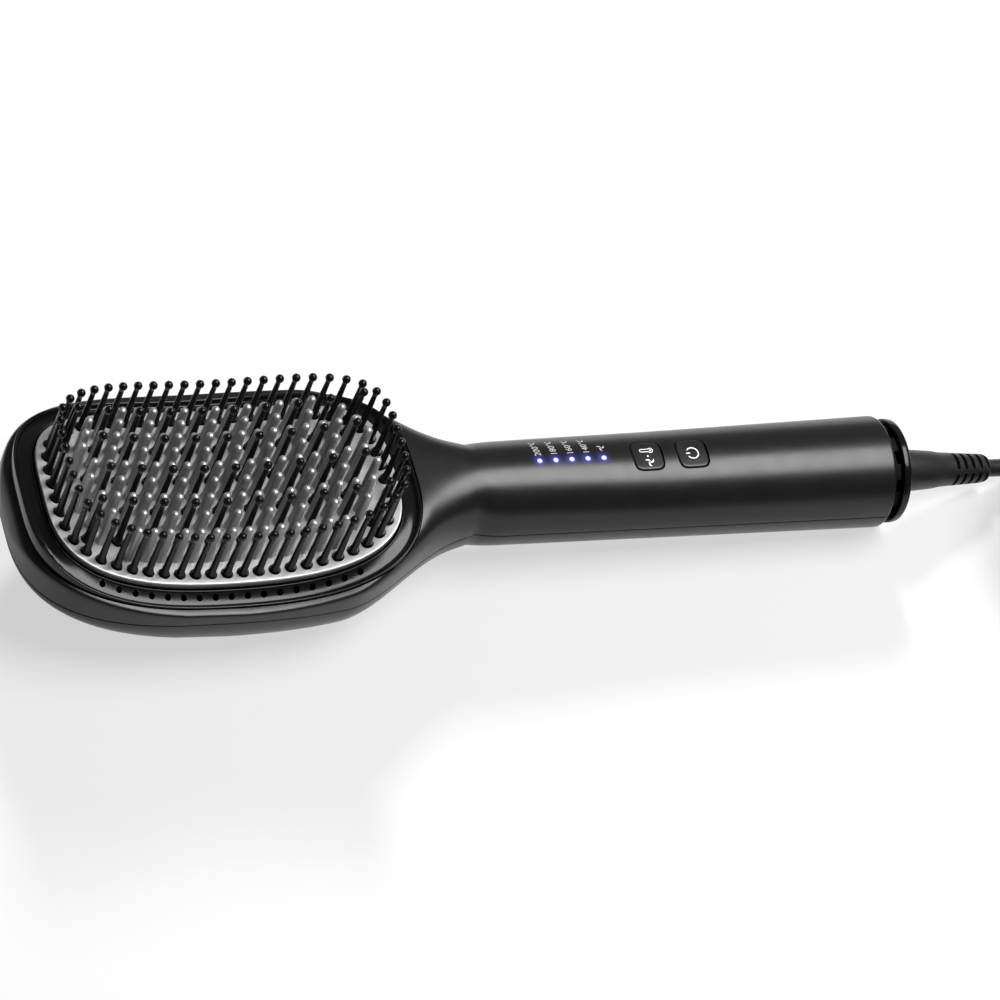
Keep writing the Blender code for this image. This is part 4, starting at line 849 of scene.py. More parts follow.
    def hollow(self) -> Surface:
        """The space inside the walls, which runs out of the handle's end."""
        steep = np.radians(np.linspace(82, 8, 12))
        reach = self.head_half_length - self.head_wall
        tip = -reach * np.sin(steep) ** (2 / self.head_outline_power)
        neck = np.linspace(0, self.handle_from, 30)
        ends = [self.crest_end, self.handle_end, self.handle_end + REACH_THROUGH]
        rings = []
        for x in np.concatenate([tip, neck, ends]):
            share = float(self.neck_share(x))
            side = self.head_wall + (self.handle_wall - self.head_wall) * share
            floor = self.back_wall + (self.handle_wall - self.back_wall) * share
            width = float(self.half_width(np.array(x), side))
            high = float(self.top_height(x, self.handle_wall))
            deep = float(self.back_depth(x, floor))
            upper = self.arc(width, high, self.power_at(x, self.side_power), 0, 41)
            lower = self.arc(width, deep, self.power_at(x, self.back_power), 0, 41)
            ring = np.concatenate([upper, (lower * [1, -1])[::-1][1:-1]])
            rings.append(np.insert(ring, 0, x, axis=1))
        return grid(np.array(rings))


def level_rows(shares: Array, height: float) -> Array:
    """Rows of a swept section that run out from the plate's middle at one height."""
    return np.stack([shares, shares * 0, shares * 0 + height], -1)


@dataclass
class FaceOval:
    """The plate's outline, and shapes swept round it that follow the saddle."""

    form: HousingForm
    half_length: float = 0.0550
    half_width: float = 0.0310
    power: float = 3.4

    def edge(self, angle: Array, offset: float) -> Array:
        """Points of the outline at the angles, moved out square to it by the offset."""
        size = np.array([self.half_length, self.half_width])
        flat = size * squared_circle(angle, self.power)
        slope = signed_power(flat / size, self.power - 1) / size
        return flat + offset * slope / np.hypot(*slope.T)[:, None]

    def even_angles(self, offset: float, count: int) -> tuple[Array, float]:
        """Angles that part the offset outline in equal lengths, and its whole length."""
        fine = np.linspace(0, math.tau, 2881)
        length = lengths_along(self.edge(fine, offset))
        places = (np.arange(count) + 0.5) * length[-1] / count
        return np.interp(places, length, fine), float(length[-1])

    def swept(self, section: Array, stations: int, closed: bool) -> Surface:
        """A section carried round the outline.

        Args:
            section: Rows of (share of the outline, offset from it, height over the saddle).
                A share of 0 is the middle of the plate.
            stations: How many places round the outline.
            closed: Whether the section's last row joins its first, as on a ring.

        Returns:
            Its surface: share times the outline moved out, with the saddle's rise added.
        """
        angles, _ = self.even_angles(float(section[:, 1].max()), stations)
        flat = np.stack([share * self.edge(angles, off) for share, off, _ in section], 1)
        z = section[None, :, 2] + self.form.face_rise(flat[..., 0])
        return grid(np.dstack([flat, z]), ring=True, tube=closed)


@dataclass
class Housing:
    """The two moulded halves of the housing."""

    form: HousingForm
    oval: FaceOval
    pose: RestPose
    pocket_offset: float = 0.0067
    pocket_floor: float = 0.0010
    boss_radius: float = 0.0036
    screw_hole_radius: float = 0.0016
    screw_head_radius: float = 0.0029
    screw_recess: float = 0.0033
    screw_posts: tuple[Pair, ...] = (
        (-0.0390, -0.0090),
        (0.0390, -0.0090),
        (0.0880, -FIT_GAP / 2),
        (0.1635, -FIT_GAP / 2),
    )
    key_places: tuple[float, ...] = (0.1377, 0.1526)
    key_half: float = 0.0049
    key_power: float = 4.4
    shaft_low: float = 0.0080
    shaft_high: float = 0.0300
    lamp_from: float = 0.10195
    lamp_pitch: float = 0.00533
    lamps: int = 5
    lamp_hole_radius: float = 0.00082
    # how far below the roof the painted lamp glow begins to show
    glow_depth: float = 0.0020

    def lamp_places(self) -> Array:
        """The lamps' places along the handle."""
        return self.lamp_from + self.lamp_pitch * np.arange(self.lamps)

    def lamp_row(self) -> dict:
        """The place of the first lamp, the lamps' pitch and their number."""
        first = self.pose.point((self.lamp_from, 0, self.form.handle_radius(self.lamp_from)))
        last = self.pose.point((self.lamp_places()[-1], 0, 0))
        return {
            "first_lamp": (float(first[0]), 0.0, float(first[2]) - self.glow_depth),
            "lamp_pitch": float(last[0] - first[0]) / (self.lamps - 1),
            "lamps": self.lamps,
        }

    def shell_finish(self) -> PaintedGlowFinish:
        """Fine matte moulded black, with a painted blue glow round the lamps."""
        return PaintedGlowFinish(
            "fine matte black",
            (0.0062, 0.0062, 0.0066),
            0.31,
            mottle=0.10,
            gloss_spread=0.03,
            grain_size=0.00028,
            grain_depth=0.000008,
            specular=0.42,
            **self.lamp_row(),
        )

    def lens_finish(self) -> PaintedGlowFinish:
        """Clear plastic with a painted glow, white over its lamp and blue towards its edge."""
        return PaintedGlowFinish(
            "lens with painted glow",
            (0.20, 0.22, 0.40),
            0.2,
            halo=0.00050,
            halo_strength=3.4,
            halo_base=0.35,
            halo_colour=(0.45, 0.50, 1.0),
            **self.lamp_row(),
        )

    def pocket(self) -> Surface:
        """The space that takes the bezel, square to the face and open above."""
        low = level_rows(np.linspace(0, 1, 12), self.pocket_floor)
        section = np.concatenate([low, low[::-1] + [0, 0, 2 * REACH_THROUGH]])
        section[:, 1] = np.where(section[:, 0] == 1, self.pocket_offset, 0)
        return self.oval.swept(section, 240, closed=False)

    def key_holes(self) -> Surface:
        """Rounded square shafts for the two keys."""
        sides = np.array([[self.shaft_low, -FIT_GAP], [self.shaft_high, -FIT_GAP]])
        shaft = squared_slab(self.key_half, self.key_power, sides)
        return shaft.repeated([(x, 0, 0) for x in self.key_places])

    def lamp_holes(self) -> Surface:
        """Round holes for the light pegs."""
        hole = rod(self.shaft_low, self.shaft_high, self.lamp_hole_radius + FIT_GAP / 2)
        return hole.repeated([(x, 0, 0) for x in self.lamp_places()])

    def build_top(self) -> None:
        """The upper half, open for the bezel, the keys and the lamps."""
        shell = self.pose.piece("upper_housing", self.form.outer_half(1))
        cuts = [self.form.hollow(), self.pocket(), self.key_holes(), self.lamp_holes()]
        self.pose.carve(shell, Cut.AWAY, *cuts)
        finish = self.shell_finish()
        hand_over(shell, finish, Body.BRUSH, ["top_shell"], 32, weigh=True)

    def build_bottom(self) -> None:
        """The lower half, with posts round its four screws and a flat land to lie on."""
        shell = self.pose.piece("lower_housing", self.form.outer_half(-1))
        self.pose.carve(shell, Cut.AWAY, self.form.hollow())
        for x, high in self.screw_posts:
            low = -float(self.form.back_depth(x))
            well = low + self.screw_recess
            bore = [
                (low - REACH_THROUGH, self.screw_head_radius),
                (well, self.screw_head_radius),
                (well, self.screw_hole_radius),
                (high + REACH_THROUGH, self.screw_hole_radius),
            ]
            post = rod(low + self.form.back_wall / 2, high, self.boss_radius, 48)
            self.pose.carve(shell, Cut.JOINED, post.shifted(x))
            self.pose.carve(shell, Cut.AWAY, upright(bore, 48).shifted(x))
        below = SQUARE * self.form.head_half_length + [self.pose.origin[0], 0]
        carve(shell, Cut.AWAY, prism(below, -REACH_THROUGH, 0.0))
        finish = self.shell_finish()
        hand_over(shell, finish, Body.BRUSH, ["bottom_shell"], 32, weigh=True)


# The brush face


@dataclass
class BrushFace:
    """The silver plate with its teeth, the black comb with its pins, and the bezel."""

    form: HousingForm
    oval: FaceOval
    pose: RestPose
    plate_top: float = 0.0079
    plate_thickness: float = 0.0020
    plate_edge: float = 0.0005
    tooth_height: float = 0.0140
    row_pitch: float = 0.0054
    column_pitch: float = 0.00493
    row_counts: tuple[int, ...] = (14, 19, 18, 19, 18, 19, 18, 19, 14)
    tip_crown: float = 0.0038
    crown_half_width: float = 0.0240
    crown_from: float = 0.0100
    edge_pin_inset: float = 0.0036
    edge_pin_pitch: float = 0.0050
    pin_height: float = 0.0204
    pin_hole_radius: float = 0.0019
    carrier_inset: float = 0.0009
    carrier_thickness: float = 0.0016
    vent_radius: float = 0.0010
    vent_pitch: float = 0.0050
    vents_a_side: int = 17
    vent_shift: float = 0.0016
    vent_offset: float = 0.0024
    head_screw_x: float = 0.0390
    post_foot: float = -0.0072
    post_radius: float = 0.0031
    bore_radius: float = 0.0016
    bore_depth: float = 0.0082
    heater_slot: Pair = (0.0256, 0.0092)
    tooth_foot: Profile = ((-0.0005, 0.00185), (0.0002, 0.00178), (0.0014, 0.00160))
    tooth_dome: Profile = (
        (-0.0013, 0.00128),
        (-0.0008, 0.00119),
        (-0.0004, 0.00098),
        (-0.00014, 0.00066),
        (0.0, 0.00022),
    )
    pin_foot: Pair = (-0.0005, 0.00140)
    pin_collar: Profile = ((0.0012, 0.00140), (0.0016, 0.00112))
    pin_ball: Profile = (
        (-0.0034, 0.00078),
        (-0.00245, 0.00080),
        (-0.00205, 0.00116),
        (-0.00135, 0.00137),
        (-0.00065, 0.00117),
        (-0.00018, 0.00068),
        (0.0, 0.00012),
    )
    bezel_section: Profile = (
        (-0.0024, 0.0023),
        (-0.0024, 0.0037),
        (0.0005, 0.0037),
        (0.0005, 0.0058),
        (0.0011, 0.0058),
        (0.0011, 0.0053),
        (0.0037, 0.0039),
        (0.0049, 0.0035),
        (0.0056, 0.0050),
        (0.0064, 0.0050),
        (0.0064, 0.0013),
        (0.0011, 0.0013),
    )
    bezel_rounds: tuple[float, ...] = (1, 1, 1, 3, 3, 2, 9, 9, 4, 4, 1, 1)

    def field_places(self) -> tuple[Array, Array]:
        """Places of the silver teeth and of the long pins, in staggered rows.

        Every second row mixes both kinds, and two such rows on one side are out of step.
        """
        teeth, pins = [], []
        middle = len(self.row_counts) // 2
        for row, count in enumerate(self.row_counts):
            column = np.arange(count)
            x = (column - (count - 1) / 2) * self.column_pitch
            places = np.stack([x, np.full(count, (row - middle) * self.row_pitch)], -1)
            is_pin = (row % 2 == 1) & ((column + abs(row - middle) // 2) % 2 == 1)
            teeth.append(places[~is_pin])
            pins.append(places[is_pin])
        return np.concatenate(teeth), np.concatenate(pins)

    def edge_places(self) -> Array:
        """The long pins that stand in a closed row along the plate's edge."""
        _, length = self.oval.even_angles(-self.edge_pin_inset, 1)
        count = 2 * round(length / self.edge_pin_pitch / 2)
        angles, _ = self.oval.even_angles(-self.edge_pin_inset, count)
        return self.oval.edge(angles, -self.edge_pin_inset)

    def raised(self, strand: Surface, places: Array, height: float, crowned: bool) -> Surface:
        """A strand at each flat place, on the saddle at a height.

        Args:
            strand: The strand, with its root at or below 0.
            places: Rows of (x, y).
            height: The height of a strand's 0 over the saddle.
            crowned: Whether tips stand higher in the middle, by crown (1 - (y / width)^2).

        Returns:
            All strands. What stands above a strand's 0 carries the whole rise of its tip.
        """
        flat = np.concatenate([places, height + self.form.face_rise(places[:, :1])], 1)
        made = strand.repeated(flat)
        if crowned:
            rise = 1 - (places[:, 1] / self.crown_half_width) ** 2
            rise = self.tip_crown * np.clip(rise, 0, None)
            share = np.clip(strand.points[:, 2] / self.crown_from, 0, 1)
            made.points[:, 2] += (rise[:, None] * share).ravel()
        return made

    def slab(self, inset: float, low: float, high: float, edge: float) -> Surface:
        """A slab with the plate's outline, its upper edge rounded, that follows the saddle."""
        shares = np.linspace(0, 1, 16)[:-1]
        sink = edge * (1 - circle(np.radians(np.linspace(0, 90, 6))))
        around = np.stack([sink[:, 0] * 0 + 1, -inset - sink[:, 1], high - sink[:, 0]], -1)
        base = level_rows(shares, low)[::-1]
        section = np.concatenate([level_rows(shares, high), around, [[1, -inset, low]], base])
        return self.oval.swept(section, 288, closed=False)

    def build_plate(self) -> None:
        """The silver plate with its flared, domed teeth and the holes for the long pins."""
        low = self.plate_top - self.plate_thickness
        slab = self.slab(0, low, self.plate_top, self.plate_edge)
        plate = self.pose.piece("toothed_plate", slab)
        hole = rod(-2 * self.plate_thickness, self.plate_thickness, self.pin_hole_radius, 20)
        teeth_at, pins_at = self.field_places()
        pins_at = np.concatenate([self.edge_places(), pins_at])
        profile = [*self.tooth_foot, *rows_from(self.tooth_height, self.tooth_dome)]
        holes = self.raised(hole, pins_at, self.plate_top, crowned=False)
        teeth = self.raised(upright(profile, 12), teeth_at, self.plate_top, crowned=True)
        self.pose.carve(plate, Cut.AWAY, holes)
        self.pose.carve(plate, Cut.JOINED, teeth)
        hand_over(plate, PLATE_SILVER, Body.BRUSH, ["heating_plate"], 38)

    def build_comb(self) -> None:
        """The black comb under the plate: collared, tapered pins with ball tips."""
        high = self.plate_top - self.plate_thickness - FIT_GAP
        low = high - self.carrier_thickness
        comb = self.pose.piece("pin_comb", self.slab(self.carrier_inset, low, high, FIT_GAP))
        collar = rows_from(self.plate_top - high, self.pin_collar)
        ball = rows_from(self.pin_height + self.plate_top - high, self.pin_ball)
        pin = upright([self.pin_foot, *collar, *ball], 10)
        inner = self.raised(pin, self.field_places()[1], high, crowned=True)
        edge = self.raised(pin, self.edge_places(), high, crowned=False)
        self.pose.carve(comb, Cut.JOINED, Surface.joined([inner, edge]))
        foot = self.post_foot
        for x in (-self.head_screw_x, self.head_screw_x):
            roof = low + float(self.form.face_rise(x)) + self.carrier_thickness / 2
            post = rod(foot, roof, self.post_radius, 40)
            bore = rod(foot - REACH_THROUGH, foot + self.bore_depth, self.bore_radius)
            self.pose.carve(comb, Cut.JOINED, post.shifted(x))
            self.pose.carve(comb, Cut.AWAY, bore.shifted(x))
        half = REACH_THROUGH / 2
        slot = prism(SQUARE * np.array(self.heater_slot) / 2, high - half, high + half)
        self.pose.carve(comb, Cut.AWAY, slot)
        hand_over(comb, PIN_BLACK, Body.BRUSH, ["pin_carrier"], 40)

    def build_bezel(self) -> None:
        """The gloss ring: a thin lip, a sloping band of air holes, a gutter and a bead."""
        rounds = TENTH_MM * np.array(self.bezel_rounds)
        section = eased_corners(np.array(self.bezel_section), rounds)
        section = np.insert(section, 0, 1.0, axis=1)
        ring = self.pose.piece("vented_bezel", self.oval.swept(section, 480, closed=True))
        x = (np.arange(self.vents_a_side) - (self.vents_a_side - 1) / 2) * self.vent_pitch
        x = x - self.vent_shift
        y = self.oval.half_width * oval_share(x, self.oval.half_length, self.oval.power)
        y = y + self.vent_offset
        sides = np.concatenate([np.stack([x, y], -1), np.stack([x, -y], -1)])
        vent = rod(-REACH_THROUGH, REACH_THROUGH, self.vent_radius)
        self.pose.carve(ring, Cut.AWAY, self.raised(vent, sides, 0.0, crowned=False))
        hand_over(ring, GLOSS_BLACK, Body.BRUSH, ["air_outlet_bezel"], 40)


# Controls


@dataclass
class Controls:
    """The two keys with their marks, the row of lenses with a painted glow and the figures beside
    it.
    """

    form: HousingForm
    housing: Housing
    pose: RestPose
    key_sink: float = 0.00012
    key_low: float = 0.0109
    key_edge: float = 0.00050
    key_bend: float = 0.22
    key_follow: float = 0.0016
    flange_height: float = 0.0010
    flange: float = 0.0009
    print_depth: float = 0.00006
    print_rise: float = 0.00003
    fan_size: float = 0.00155
    fan_sweep: float = 1.15
    fan_hub: float = 0.08
    blade_width: Pair = (0.10, 0.24)
    fan_place: Pair = (-0.0023, -0.0002)
    dot_radius: float = 0.00028
    dot_place: float = -0.0002
    gauge_bulb: float = 0.00080
    gauge_stem: float = 0.00048
    gauge_length: float = 0.0030
    gauge_line: float = 0.00022
    gauge_dot: float = 0.00032
    gauge_place: Pair = (0.0019, -0.0013)
    power_radius: float = 0.00190
    power_opening: float = 36.0
    power_bar: Pair = (0.0008, 0.0025)
    power_line: float = 0.00034
    figures: tuple[str, ...] = ("200°C", "180°C", "160°C", "140°C")
    figure_height: float = 0.00205
    capital_share: float = 0.7
    figure_squeeze: float = 0.96
    figure_start: float = 0.00175
    figure_fan_size: float = 0.00135
    figure_fan_shift: float = 0.0022
    bar_width: float = 0.0036
    bar_height: float = 0.0012
    bar_margin: float = 0.0015
    bar_corner: float = 0.0006
    bar_low: float = 0.0100
    peg_foot: float = 0.0094
    peg_dome: Profile = ((-0.00010, 1.0), (0.00002, 0.86), (0.00010, 0.50), (0.00012, 0.10))

    def laid(
        self, surface: Surface, x: float, y: float, rise: float, bend: float = 1.0
    ) -> Surface:
        """A flat mark laid on the handle, or on a key.

        The mark's own up runs towards the head and its right runs away across the handle:
        the point (u, v) goes to (x - v, y + u). Its height is the top line's, less the
        roof's fall to the side times the bend, which is 1 on the handle.
        """
        u, v, w = surface.points.T
        places = np.stack([x - v, y + u], -1)
        top = self.form.top_height(places[:, 0])
        fall = self.form.roof(places[:, 0], places[:, 1]) - top
        z = top + fall * bend + w + rise
        return self.pose.place(Surface(np.column_stack([places, z]), surface.faces))

    def key(self, name: str, x: float, body: Body) -> None:
        """One key: a rounded square whose top is nearly flat, so its sides stand proud."""
        half, power = self.housing.key_half, self.housing.key_power
        top = float(self.form.top_height(x)) - self.key_sink
        edge = self.key_edge
        crown = np.linspace(half, edge, 10)[:-1]
        shoulder = self.key_low + self.flange_height - top
        rows = np.concatenate(
            [
                np.stack([crown * 0, crown], -1),
                edge * (circle(np.radians(np.linspace(0, 90, 7))) - 1) * [1, -1],
                [[shoulder, 0], [shoulder, -self.flange], [self.key_low - top, -self.flange]],
            ]
        )
        slab = squared_slab(half, power, rows)
        from_low = np.clip((slab.points[:, 2] + self.key_follow) / self.key_follow, 0, 1)
        fall = self.form.roof(x, slab.points[:, 1]) - self.form.roof(x, 0.0)
        slab.points[:, 2] += fall * from_low * self.key_bend + top
        piece = self.pose.piece(name, slab.shifted(x))
        hand_over(piece, BUTTON_BLACK, body, [name.replace("key", "button")], 50)

    def fan_mark(self, size: float) -> Surface:
        """Three swept blades: each is a stroke that bows and swells in its middle."""
        t = np.linspace(0, 1, 15)
        path = circle(self.fan_sweep * t, size * (self.fan_hub + (1 - self.fan_hub) * t))
        least, swell = self.blade_width
        bow = np.sin(math.pi * np.clip(t * 0.92 + 0.05, 0, 1)) ** 1.4
        blade = ribbon(path, size * (least + swell * bow), self.print_depth)
        turns = [turn_about("Z", math.tau * k / 3) for k in range(3)]
        return Surface.joined([blade.moved(turn, np.zeros(3)) for turn in turns])

    def dot(self, radius: float) -> Surface:
        """A small flat disc that faces up."""
        return rod(-self.print_depth, 0.0, radius, 24)

    def thermometer_mark(self) -> Surface:
        """A thermometer: an outline of a stem and a bulb, with a filled bulb."""
        bulb, stem = self.gauge_bulb, self.gauge_stem
        open_half = math.asin(stem / bulb)
        sweep = np.linspace(open_half, math.tau - open_half, 25)
        around = bulb * np.stack([np.sin(sweep), np.cos(sweep)], -1)
        cap = np.linspace(math.pi / 2, -math.pi / 2, 11)
        over = np.stack([-stem * np.sin(cap), self.gauge_length + stem * np.cos(cap)], -1)
        path = np.concatenate([around, over])
        outline = ribbon(path, self.gauge_line, self.print_depth, closed=True)
        return Surface.joined([outline, self.dot(self.gauge_dot)])

    def power_mark(self) -> Surface:
        """A ring that is open at the top, with a bar through the opening."""
        first, last = 90 - self.power_opening, self.power_opening - 270
        ring = circle(np.radians(np.linspace(first, last, 57)), self.power_radius)
        bar = np.stack([np.zeros(5), np.linspace(*self.power_bar, 5)], -1)
        strokes = [ribbon(path, self.power_line, self.print_depth) for path in (ring, bar)]
        return Surface.joined(strokes)

    def marks(self) -> None:
        """The marks on the keys, each riding on its own key."""
        fan = self.fan_mark(self.fan_size).shifted(*self.fan_place)
        dot = self.dot(self.dot_radius).shifted(self.dot_place)
        gauge = self.thermometer_mark().shifted(*self.gauge_place)
        mode_x, power_x = self.housing.key_places
        for name, mark, x, body in (
            ("mode_mark", Surface.joined([fan, dot, gauge]), mode_x, Body.MODE_BUTTON),
            ("power_mark", self.power_mark(), power_x, Body.POWER_BUTTON),
        ):
            laid = self.laid(mark, x, 0, self.print_rise - self.key_sink, self.key_bend)
            hand_over(piece_of(name, laid), ICON_WHITE, body)

    def lettering(self, text: str) -> Surface:
        """A short text as a thin flat solid, from the built-in letters."""
        curve = bpy.data.curves.new(text, "FONT")
        curve.body = text
        curve.size = self.figure_height / self.capital_share
        curve.extrude = self.print_depth / 2
        curve.resolution_u = 3
        guide = add_object(text, curve)
        mesh = evaluated_mesh(guide)
        points = np.zeros(len(mesh.vertices) * 3)
        mesh.vertices.foreach_get("co", points)
        faces = [np.array([list(face.vertices)]) for face in mesh.polygons]
        bpy.data.objects.remove(guide)
        bpy.data.meshes.remove(mesh)
        return Surface(points.reshape(-1, 3) * [self.figure_squeeze, 1, 1], faces)

    def scale_figures(self) -> None:
        """Temperatures beside four lamps, and a fan beside the fifth."""
        lamps = self.housing.lamp_places()
        starts = lamps[:-1] + self.figure_height / 2
        parts = [
            self.laid(self.lettering(text), x, self.figure_start, self.print_rise)
            for text, x in zip(self.figures, starts)
        ]
        fan = self.fan_mark(self.figure_fan_size)
        across = self.figure_start + self.figure_fan_shift
        parts.append(self.laid(fan, lamps[-1], across, self.print_rise))
        figures = piece_of("scale_figures", Surface.joined(parts))
        hand_over(figures, FIGURE_GREY, Body.BRUSH)

    def lenses(self) -> None:
        """The clear bar below the roof, and its five domed pegs on it, which carry a painted glow.
        """
        radius = self.housing.lamp_hole_radius
        places = self.housing.lamp_places()
        reach = (places[-1] - places[0]) / 2 + radius + self.bar_margin
        corners = SQUARE * [reach, self.bar_width / 2] + [places.mean(), 0]
        outline = eased_corners(corners, self.bar_corner, 4)
        bar = prism(outline, self.bar_low, self.bar_low + self.bar_height)
        guide = self.pose.piece("light_bar", bar)
        hand_over(guide, LENS_CLEAR, Body.BRUSH, ["light_guide"])
        for k, x in enumerate(places):
            top = float(self.form.top_height(x))
            dome = [(top + up, radius * share) for up, share in self.peg_dome]
            peg = self.pose.piece(
                f"lit_lens_{k + 1}", upright([(self.peg_foot, radius), *dome], 32).shifted(x)
            )
            hand_over(peg, self.housing.lens_finish(), Body.BRUSH, ["light_guide"], 40)

    def build(self) -> None:
        """All of the controls."""
        names, bodies = ("mode_key", "power_key"), (Body.MODE_BUTTON, Body.POWER_BUTTON)
        for name, x, body in zip(names, self.housing.key_places, bodies):
            self.key(name, x, body)
        self.marks()
        self.scale_figures()
        self.lenses()


# Handle end


@dataclass
class HandleEnd:
    """The air ring, the gloss cap and the cord's ball and boot."""

    pose: RestPose
    ring_from: float = 0.2100
    ring_radius: float = 0.0147
    ring_wall: float = 0.0017
    ring_edge: float = 0.0002
    ring_notches: int = 10
    notch_width: float = 0.0042
    notch_depth: float = 0.0046
    notch_top: float = 0.0300
    cap_from: float = 0.2230
    cap_thickness: float = 0.0028
    cap_radius: float = 0.0163
    cap_boss_radius: float = 0.0112
    cap_boss_length: float = 0.0114
    mouth_radius: float = 0.0077
    ball_x: float = 0.2180
    ball_radius: float = 0.0085
    boot_dip: float = math.radians(11.5)
    boot_swing: float = math.radians(6.0)
    boot_length: float = 0.0415
    boot_tip: float = 0.0470
    boot_waist: float = 0.0312
    boot_neck: float = 0.0055
    neck_end: float = 0.0093
    boot_slots: int = 5
    slot_width: float = 0.0014
    slot_half_length: float = 0.0031
    slot_corner: float = 0.0006
    slot_floor: float = 0.0033
    cap_edge: float = 0.00010
    cap_steps: Profile = (
        (0.0, 0.0128),
        (-0.00045, 0.0131),
        (-0.00045, 0.0137),
        (-0.00010, 0.0140),
    )
    cap_rounds: tuple[float, ...] = (6, 2, 1.5, 1.5, 2, 12, 5, 2, 2, 1)
    boot_sleeve: Profile = (
        (0.0098, 0.0062),
        (0.0108, 0.0067),
        (0.0170, 0.00650),
        (0.0225, 0.00615),
        (0.0255, 0.00590),
        (0.0275, 0.00555),
        (0.0295, 0.00540),
    )
    boot_lip: Profile = (
        (-0.0022, 0.00462),
        (-0.0012, 0.00450),
        (-0.0004, 0.00415),
        (0.0, 0.00360),
        (0.0, 0.0),
    )

    def build_ring(self) -> None:
        """The dark ring with its square air notches."""
        inner = self.ring_radius - self.ring_wall
        end = self.cap_from - FIT_GAP
        corners = [(end, inner), (end, self.ring_radius), (self.ring_from, self.ring_radius)]
        corners = np.array([*corners, (self.ring_from, inner)])
        section = eased_corners(corners, self.ring_edge, 3)
        ring = self.pose.piece("air_ring", turned([*section, section[0]], 120))
        notch = SQUARE * [self.notch_depth, self.notch_width / 2]
        notch = prism(notch, inner / 2, self.notch_top)
        for k in range(self.ring_notches):
            turn = turn_about("X", math.tau * (k + 0.5) / self.ring_notches)
            self.pose.carve(ring, Cut.AWAY, notch.moved(turn, np.array([end, 0, 0])))
        hand_over(ring, DEEP_BLACK, Body.BRUSH, ["inlet_ring"], 35)

    def build_cap(self) -> None:
        """The gloss cap, with two fine steps round its face and the ball's socket."""
        face = self.cap_from + self.cap_thickness
        back = self.cap_from - self.cap_boss_length
        socket = self.ball_radius + FIT_GAP
        lean = math.sqrt(socket**2 - self.mouth_radius**2)
        x = np.linspace(0, lean, 8)
        bowl = np.stack([self.ball_x + x, np.sqrt(socket**2 - x**2)], -1)
        outer = np.array(
            [
                (face, self.mouth_radius),
                *rows_from(face, self.cap_steps),
                (face - self.cap_edge, self.cap_radius),
                (self.cap_from, self.cap_radius),
                (self.cap_from, self.cap_boss_radius),
                (back, self.cap_boss_radius),
                (back, socket),
            ]
        )
        rounded = eased_corners(outer, TENTH_MM * np.array(self.cap_rounds), 6)[:-6]
        profile = np.concatenate([bowl[:-1], rounded, [(back, socket)], bowl[:1]])
        cap = self.pose.piece("gloss_cap", turned(profile, 160))
        hand_over(cap, GLOSS_BLACK, Body.BRUSH, ["end_cap"], 40)

    def boot_turn(self) -> Array:
        """The turn that points the boot the way the cord leaves."""
        return turn_about("Z", self.boot_swing) @ turn_about("Y", self.boot_dip)

    def build_boot(self) -> None:
        """The ball, the smooth sleeve and the slotted, tapering strain relief."""
        neck = self.boot_neck
        sweep = np.linspace(math.pi, math.asin(neck / self.ball_radius), 25)
        ball = circle(sweep, self.ball_radius)
        ball[0, 1] = 0.0
        end = self.boot_tip
        outer = [(self.neck_end, neck), *self.boot_sleeve, *rows_from(end, self.boot_lip)]
        piece = piece_of("slotted_boot", turned([*ball, *outer], 128))
        pitch = (end - self.boot_waist) / self.boot_slots
        corners = SQUARE * [self.slot_width / 2, self.slot_half_length]
        outline = eased_corners(corners, self.slot_corner, 4)
        slot = prism(outline, self.slot_floor, self.slot_floor + REACH_THROUGH)
        slots = []
        for k in range(self.boot_slots):
            along = np.array([self.boot_waist + (k + 0.5) * pitch, 0, 0])
            for quarter in range(4):
                slots.append(slot.moved(turn_about("X", math.pi / 2 * quarter), along))
        carve(piece, Cut.AWAY, Surface.joined(slots))
        self.pose.settle(piece, (self.ball_x, 0, 0), self.boot_turn())
        hand_over(piece, RUBBER_BLACK, Body.CORD_END, ["cord_boot"], 35, weigh=True)

    def build(self) -> None:
        """All of the handle's end."""
        self.build_ring()
        self.build_cap()
        self.build_boot()


@dataclass
class Fasteners:
    """Four pan-head screws with crossed recesses, put in from the back."""

    form: HousingForm
    pose: RestPose
    head_radius: float = 0.0026
    head_height: float = 0.0017
    shank_radius: float = 0.0012
    recess: float = 0.0030
    grip: float = 0.0070
    cross: Pair = (0.0015, 0.00028)
    cross_depth: float = 0.45
    point_share: float = 0.3
    dome: Profile = (
        (-1.0, 0.30),
        (-0.97, 0.62),
        (-0.80, 0.86),
        (-0.50, 0.98),
        (-0.10, 1.0),
        (0.0, 0.97),
    )
    seats: tuple[tuple[str, float, float], ...] = (
        ("head_screw_1", -0.0390, -0.0075),
        ("head_screw_2", 0.0390, -0.0075),
        ("handle_screw_1", 0.0880, -FIT_GAP / 2),
        ("handle_screw_2", 0.1635, -FIT_GAP / 2),
    )

    def build(self) -> None:
        """Each screw: a domed head, a plain shank and a pointed end, cut with a cross."""
        head, radius, shank = self.head_height, self.head_radius, self.shank_radius
        for name, x, high in self.seats:
            low = -float(self.form.back_depth(x)) + self.recess
            length = high + self.grip - low
            dome = [(head * up, radius * out) for up, out in self.dome]
            point = [(length - shank, shank), (length, shank * self.point_share)]
            screw = piece_of(f"crossed_{name}", upright([*dome, (0.0, shank), *point], 48))
            for size in (self.cross, self.cross[::-1]):
                arm = prism(SQUARE * size, -2 * head, -head * self.cross_depth)
                carve(screw, Cut.AWAY, arm)
            self.pose.settle(screw, (x, 0, low), np.eye(3))
            hand_over(screw, STEEL, Body.BRUSH, [name], 35)


# Cord


